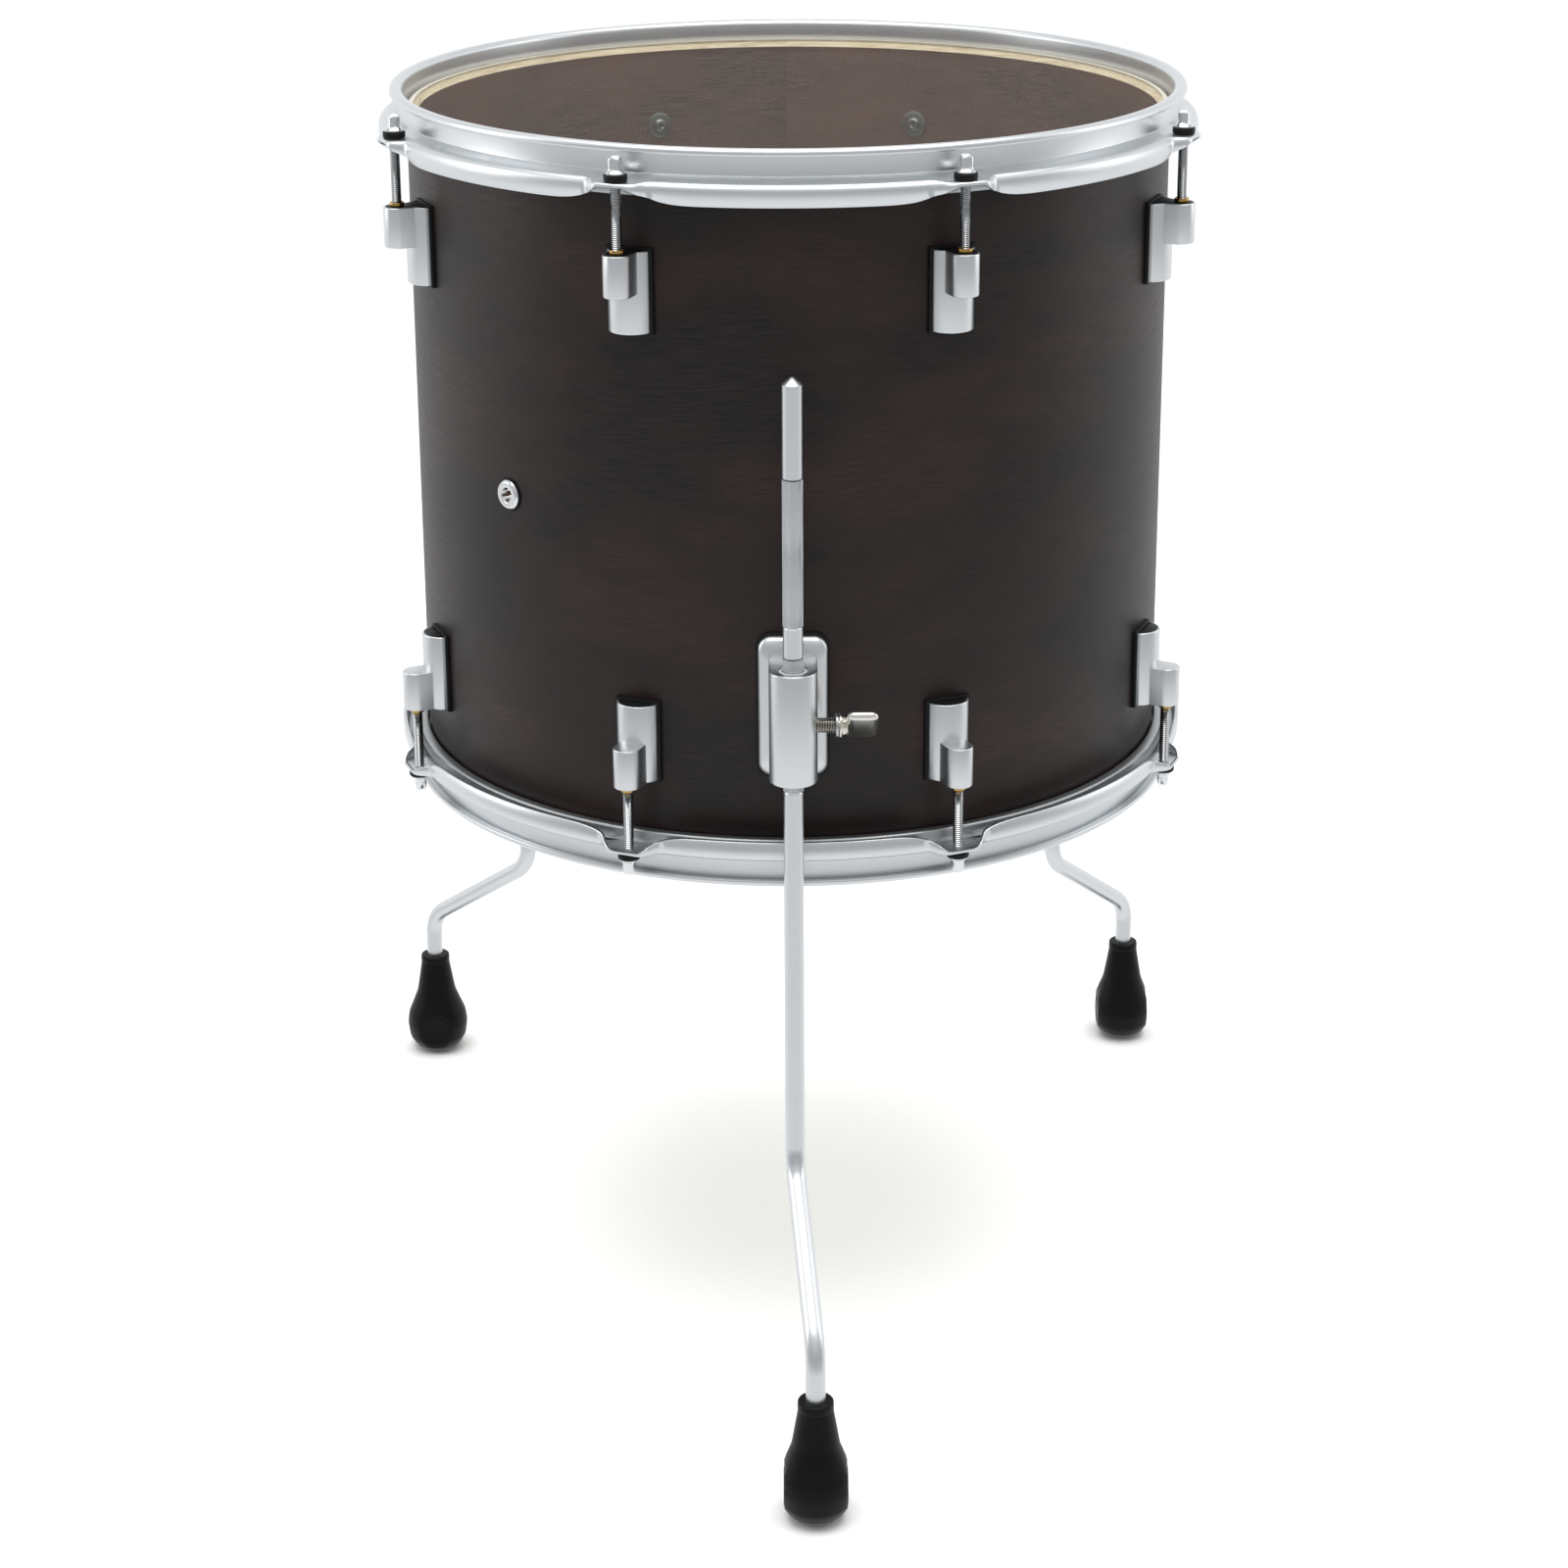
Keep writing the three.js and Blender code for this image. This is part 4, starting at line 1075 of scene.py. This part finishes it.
# --- Feet ----------------------------------------------------------------------------------
# Moulded black rubber, pushed on the leg: a bulb with two flat sides, a round plug mark on each
# flat, and a short collar.
FOOT_FLATS = {"front": 90, "right": 90, "left": 0}
FOOT_HEIGHT, FLAT_HALF, COLLAR_BORE, SOCKET_FLOOR = 66, 16.2, 5.15, 23.6
MARK_RADIUS, MARK_HEIGHT, MARK_LIFT = 9.2, 16.5, 0.3
foot_outline = [
    (0, 0, 0), (8, 0, 2), (14.5, 3.2, 8), (18.2, 9.5, 10), (19.3, 18.5, 14), (18.4, 25.5, 14),
    (15.4, 32.7, 16), (12.3, 40.7, 20), (9.4, 58, 30), (8.9, 61.6, 0.8), (9.15, 62.2, 0.4),
    (9.0, 65.4, 0.6), (8.2, FOOT_HEIGHT, 0.4), (COLLAR_BORE, FOOT_HEIGHT, 0.3),
    (COLLAR_BORE, SOCKET_FLOOR, 0.3), (0, SOCKET_FLOOR, 0),
]
foot_profile = rounded(foot_outline, 1.0, 6, False)
foot_profile[0, 0] = foot_profile[-1, 0] = 0
bulb_points, bulb_faces = turned(foot_profile, 128)
flat_half = FLAT_HALF - MARK_LIFT
wide = np.abs(bulb_points[:, 1]) > flat_half
bulb_points[wide, 1] = np.sign(bulb_points[wide, 1]) * flat_half
mark_profile = rounded(
    [(0, -0.6), (MARK_RADIUS + 0.3, -0.6), (MARK_RADIUS + 0.3, 0.12), (MARK_RADIUS, MARK_LIFT),
     (MARK_RADIUS - 0.5, MARK_LIFT), (MARK_RADIUS - 0.7, 0.06), (0, 0.06)], 0.1, 2, False,
)
# Moulded rubber: near black with an olive cast, and a soft broad sheen
rubber = moulded_finish("moulded black rubber", "#050604", "#0c0d0b", 0.4, 0.6, 0.25)
for side, azimuth in LEGS.items():
    solids = [(bulb_points, bulb_faces)]
    for facing in (1, -1):
        points, faces = turned(mark_profile, 64)
        across = facing * (flat_half + points[:, 2])
        solids.append((np.column_stack([points[:, 0], across, points[:, 1] + MARK_HEIGHT]), faces))
    foot = make_piece(f"{side}_rubber_foot", *solids, sharp_above=25)
    own = math.radians(FOOT_FLATS[side] - azimuth - LEG_SWIVEL)
    foot.data.transform(Matrix.Translation((0, -LEG_OFFSET * MM, 0)) @ Matrix.Rotation(own, 4, "Z"))
    set_round_drum(foot, rubber, azimuth, LEG_CIRCLE, -MIDDLE, own_turn=LEG_SWIVEL)
    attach(foot, f"{side}_foot_body")
    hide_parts(f"{side}_foot")

# --- Wing bolts ----------------------------------------------------------------------------
# Cast and plated steel: an M8 thread through the bracket's side, a round seat on a split spring
# washer, and one thick rounded wing set at an angle.
BOLT_START, BOLT_CORE, BOLT_ROOT, BOLT_RIDGE, BOLT_PITCH = 7.8, 3.3, 3.35, 0.6, 1.25
BOLT_SEAT, SEAT_RADIUS, HUB_END = 22.7, 6.4, 26.8
WING_START, WING_END, WING_HALF, WING_THICKNESS = 26.3, 41.7, 14.5, 6.0
WING_TILT, WING_CORNER, WING_EDGE, WING_ROUNDNESS, WING_WEB = -41, 3.4, 3.04, 0.86, 0.6
SPLIT_START, SPLIT_END, SPLIT_INNER, SPLIT_OUTER, SPLIT_RISE = 20.9, 22.4, 4.3, 6.0, 0.15

shank_profile = [(0, BOLT_START), (BOLT_CORE, BOLT_START), (BOLT_CORE, BOLT_SEAT), (0, BOLT_SEAT)]
seat_profile = rounded(
    [(0, BOLT_SEAT), (SEAT_RADIUS, BOLT_SEAT, 0.2), (SEAT_RADIUS, BOLT_SEAT + 1.0, 0.3),
     (5.4, BOLT_SEAT + 1.6, 0.6), (4.6, HUB_END, 0.8), (0, HUB_END)], 0.3, 3, False,
)
wing_middle, wing_half_length = (WING_START + WING_END) / 2, (WING_END - WING_START) / 2
wing_rings = []
for share in np.linspace(-1, 1, 13):
    lean = math.sqrt(1 - WING_ROUNDNESS * share**2)
    margin = WING_EDGE * (1 - lean)
    plan = rounded_rectangle(wing_half_length - margin, WING_HALF - margin, WING_CORNER)
    # The web is thinner than the beads along its two ends
    bead = WING_WEB + (1 - WING_WEB) * (np.abs(plan[:, 1]) / WING_HALF) ** 6
    level = share * WING_THICKNESS / 2 * bead
    wing_rings.append(np.column_stack([plan[:, 0] + wing_middle, plan[:, 1], level]))
wing_points, wing_faces = lofted(wing_rings)
tilt = math.radians(WING_TILT)
wing_points = np.column_stack(
    [wing_points[:, 0], wing_points[:, 1] * math.cos(tilt) - wing_points[:, 2] * math.sin(tilt),
     wing_points[:, 1] * math.sin(tilt) + wing_points[:, 2] * math.cos(tilt)]
)
split_rings = []
split_half_height = (SPLIT_END - SPLIT_START) / 2 - SPLIT_RISE
split_section = rounded_rectangle((SPLIT_OUTER - SPLIT_INNER) / 2, split_half_height, 0.25)
for turn in np.radians(np.linspace(4, 356, 60)):
    radius = split_section[:, 0] + (SPLIT_INNER + SPLIT_OUTER) / 2
    shift = (SPLIT_START + SPLIT_END) / 2 + SPLIT_RISE * (turn - math.pi) / math.pi
    split_rings.append(
        np.column_stack([split_section[:, 1] + shift, radius * np.cos(turn), radius * np.sin(turn)])
    )
# Nickel plate: bright and a little warm
nickel = metal_finish("bright nickel plate", "#e6e3dc", 0.95, 0.2, 0.5, 0.02)
# The same nickel on the bolt's thread, with painted shade darkening its grooves
threaded_nickel = metal_finish(
    "bright nickel plate, cut thread", "#ddd8cf", 0.95, 0.14, 0.5, 0.05, groove_shade="#2c2925"
)
# Spring steel, zinc plated: cool and bright
spring_steel = metal_finish("plated spring steel", "#c4c7c9", 0.93, 0.22, 0.5, 0.08)
for side, azimuth in LEGS.items():
    bolt = make_piece(f"{side}_bolt_shank", turned(shank_profile, 40), turned(seat_profile, 48))
    thread_length = BOLT_SEAT - BOLT_START - 0.8
    cut_thread(
        bolt, threaded_nickel, BOLT_START + 0.5, thread_length, BOLT_ROOT, BOLT_PITCH, BOLT_RIDGE
    )
    bolt.data.transform(Matrix.Rotation(math.pi / 2, 4, "Y"))
    wing = make_piece(f"{side}_bolt_wing", (wing_points, wing_faces), sharp_above=60)
    split = make_piece(f"{side}_split_washer", lofted(split_rings))
    for piece, finish, body in (
        (bolt, threaded_nickel, "bolt"), (wing, nickel, "bolt"), (split, spring_steel, "washer"),
    ):
        set_round_drum(piece, finish, azimuth, LEG_CIRCLE, BRACKET_MIDDLE)
        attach(piece, f"{side}_{body}_body")
    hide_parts(f"{side}_wing_bolt")
    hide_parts(f"{side}_lock_washer")

# --- Studio --------------------------------------------------------------------------------
# A plain pale floor, softboxes above and on both sides, a broad sun, and a sky that is brighter in
# some directions than in others. The camera stands in front, a little above the upper rim.
CAMERA_DISTANCE, CAMERA_HEIGHT = 1753.5, 961.3
CAMERA_YAW, CAMERA_PITCH, CAMERA_ROLL = 0.28, 17.73, -0.25
CAMERA_LENS, CAMERA_SHIFT = 75.62, (-0.004, -0.14)
SKY_AHEAD, SKY_BELOW, SKY_BEHIND, SKY_ABOVE = 0.5, 1.05, 1.05, 0.75
SUN_STRENGTH, SUN_WIDTH = 1.2, 60
SOFTBOXES = (
    # Name, place, size in metres and power
    ("overhead_softbox", (0, -0.2, 2.6), (2.4, 2.0), 42),
    ("left_softbox", (-2.2, 0.0, 1.2), (0.9, 1.8), 9),
    ("right_softbox", (2.2, 0.2, 1.2), (0.9, 1.8), 6),
)
LIT_SPOT = (0, 0, 0.5)

floor_mesh = bpy.data.meshes.new("studio_floor")
floor_mesh.from_pydata([(-12, -8, 0), (12, -8, 0), (12, 30, 0), (-12, 30, 0)], [], [(0, 1, 2, 3)])
floor = bpy.data.objects.new("studio_floor", floor_mesh)
bpy.context.scene.collection.objects.link(floor)
# Matt white paint on a smooth floor, uneven by a shade over half a metre
paint, tree = start_finish("matt white paint")
spot = add_node(tree, "ShaderNodeTexCoord").outputs["Object"]
mottle = add_node(tree, "ShaderNodeTexNoise", {"Vector": spot, "Scale": 2.0, "Detail": 2.0})
tint = add_node(
    tree, "ShaderNodeMix", {0: mottle.outputs[0], 6: linear("#f3f3f2"), 7: linear("#f6f6f6")},
    data_type="RGBA",
)
shader = add_node(tree, "ShaderNodeBsdfPrincipled", {"Base Color": tint.outputs[2], "Roughness": 0.9})
add_node(tree, "ShaderNodeOutputMaterial", {"Surface": shader.outputs[0]})
floor_mesh.materials.append(paint)
floor.visible_glossy = False

for name, place, size, power in SOFTBOXES:
    light = bpy.data.lights.new(name, "AREA")
    light.shape = "RECTANGLE"
    light.size, light.size_y = size
    light.energy = power
    softbox = bpy.data.objects.new(name, light)
    softbox.location = place
    softbox.rotation_euler = (Vector(LIT_SPOT) - Vector(place)).to_track_quat("-Z", "Y").to_euler()
    bpy.context.scene.collection.objects.link(softbox)
world = bpy.data.worlds.new("white studio")
bpy.context.scene.world = world
world.use_nodes = True
tree = world.node_tree
tree.nodes.clear()
# The room is dim ahead of the drum, brighter towards the floor and behind the drum, and even above
direction = add_node(tree, "ShaderNodeTexCoord").outputs["Generated"]
towards = add_node(tree, "ShaderNodeSeparateXYZ", {0: direction})
ahead = add_node(
    tree, "ShaderNodeMapRange",
    {"Value": towards.outputs[2], "From Min": -0.15, "From Max": -0.5, "To Min": SKY_AHEAD,
     "To Max": SKY_BELOW},
)
back_share = add_node(
    tree, "ShaderNodeMapRange", {"Value": towards.outputs[1], "From Min": -0.2, "From Max": 0.45}
)
around = add_node(tree, "ShaderNodeMix", {0: back_share.outputs[0], 2: ahead.outputs[0], 3: SKY_BEHIND})
top_share = add_node(
    tree, "ShaderNodeMapRange", {"Value": towards.outputs[2], "From Min": 0.2, "From Max": 0.7}
)
level = add_node(tree, "ShaderNodeMix", {0: top_share.outputs[0], 2: around.outputs[0], 3: SKY_ABOVE})
sky = add_node(tree, "ShaderNodeBackground", {"Color": linear("#f8f9fa"), "Strength": level.outputs[0]})
add_node(tree, "ShaderNodeOutputWorld", {"Surface": sky.outputs[0]})
sun = bpy.data.lights.new("overhead_sun", "SUN")
sun.energy = SUN_STRENGTH
sun.angle = math.radians(SUN_WIDTH)
sun_light = bpy.data.objects.new("overhead_sun", sun)
sun_light.visible_glossy = False
bpy.context.scene.collection.objects.link(sun_light)

camera = bpy.data.objects.new("camera", bpy.data.cameras.new("camera"))
bpy.context.scene.collection.objects.link(camera)
bpy.context.scene.camera = camera
camera.data.sensor_width = 36
camera.data.lens = CAMERA_LENS
camera.data.shift_x, camera.data.shift_y = CAMERA_SHIFT
yaw = math.radians(CAMERA_YAW)
camera.location = (
    (AXIS_X - CAMERA_DISTANCE * math.sin(yaw)) * MM,
    (AXIS_Y - CAMERA_DISTANCE * math.cos(yaw)) * MM,
    CAMERA_HEIGHT * MM,
)
aim = Matrix.Rotation(-yaw, 4, "Z") @ Matrix.Rotation(math.radians(90 - CAMERA_PITCH), 4, "X")
camera.rotation_euler = (aim @ Matrix.Rotation(math.radians(CAMERA_ROLL), 4, "Z")).to_euler()
bpy.context.scene.view_settings.view_transform = "Standard"
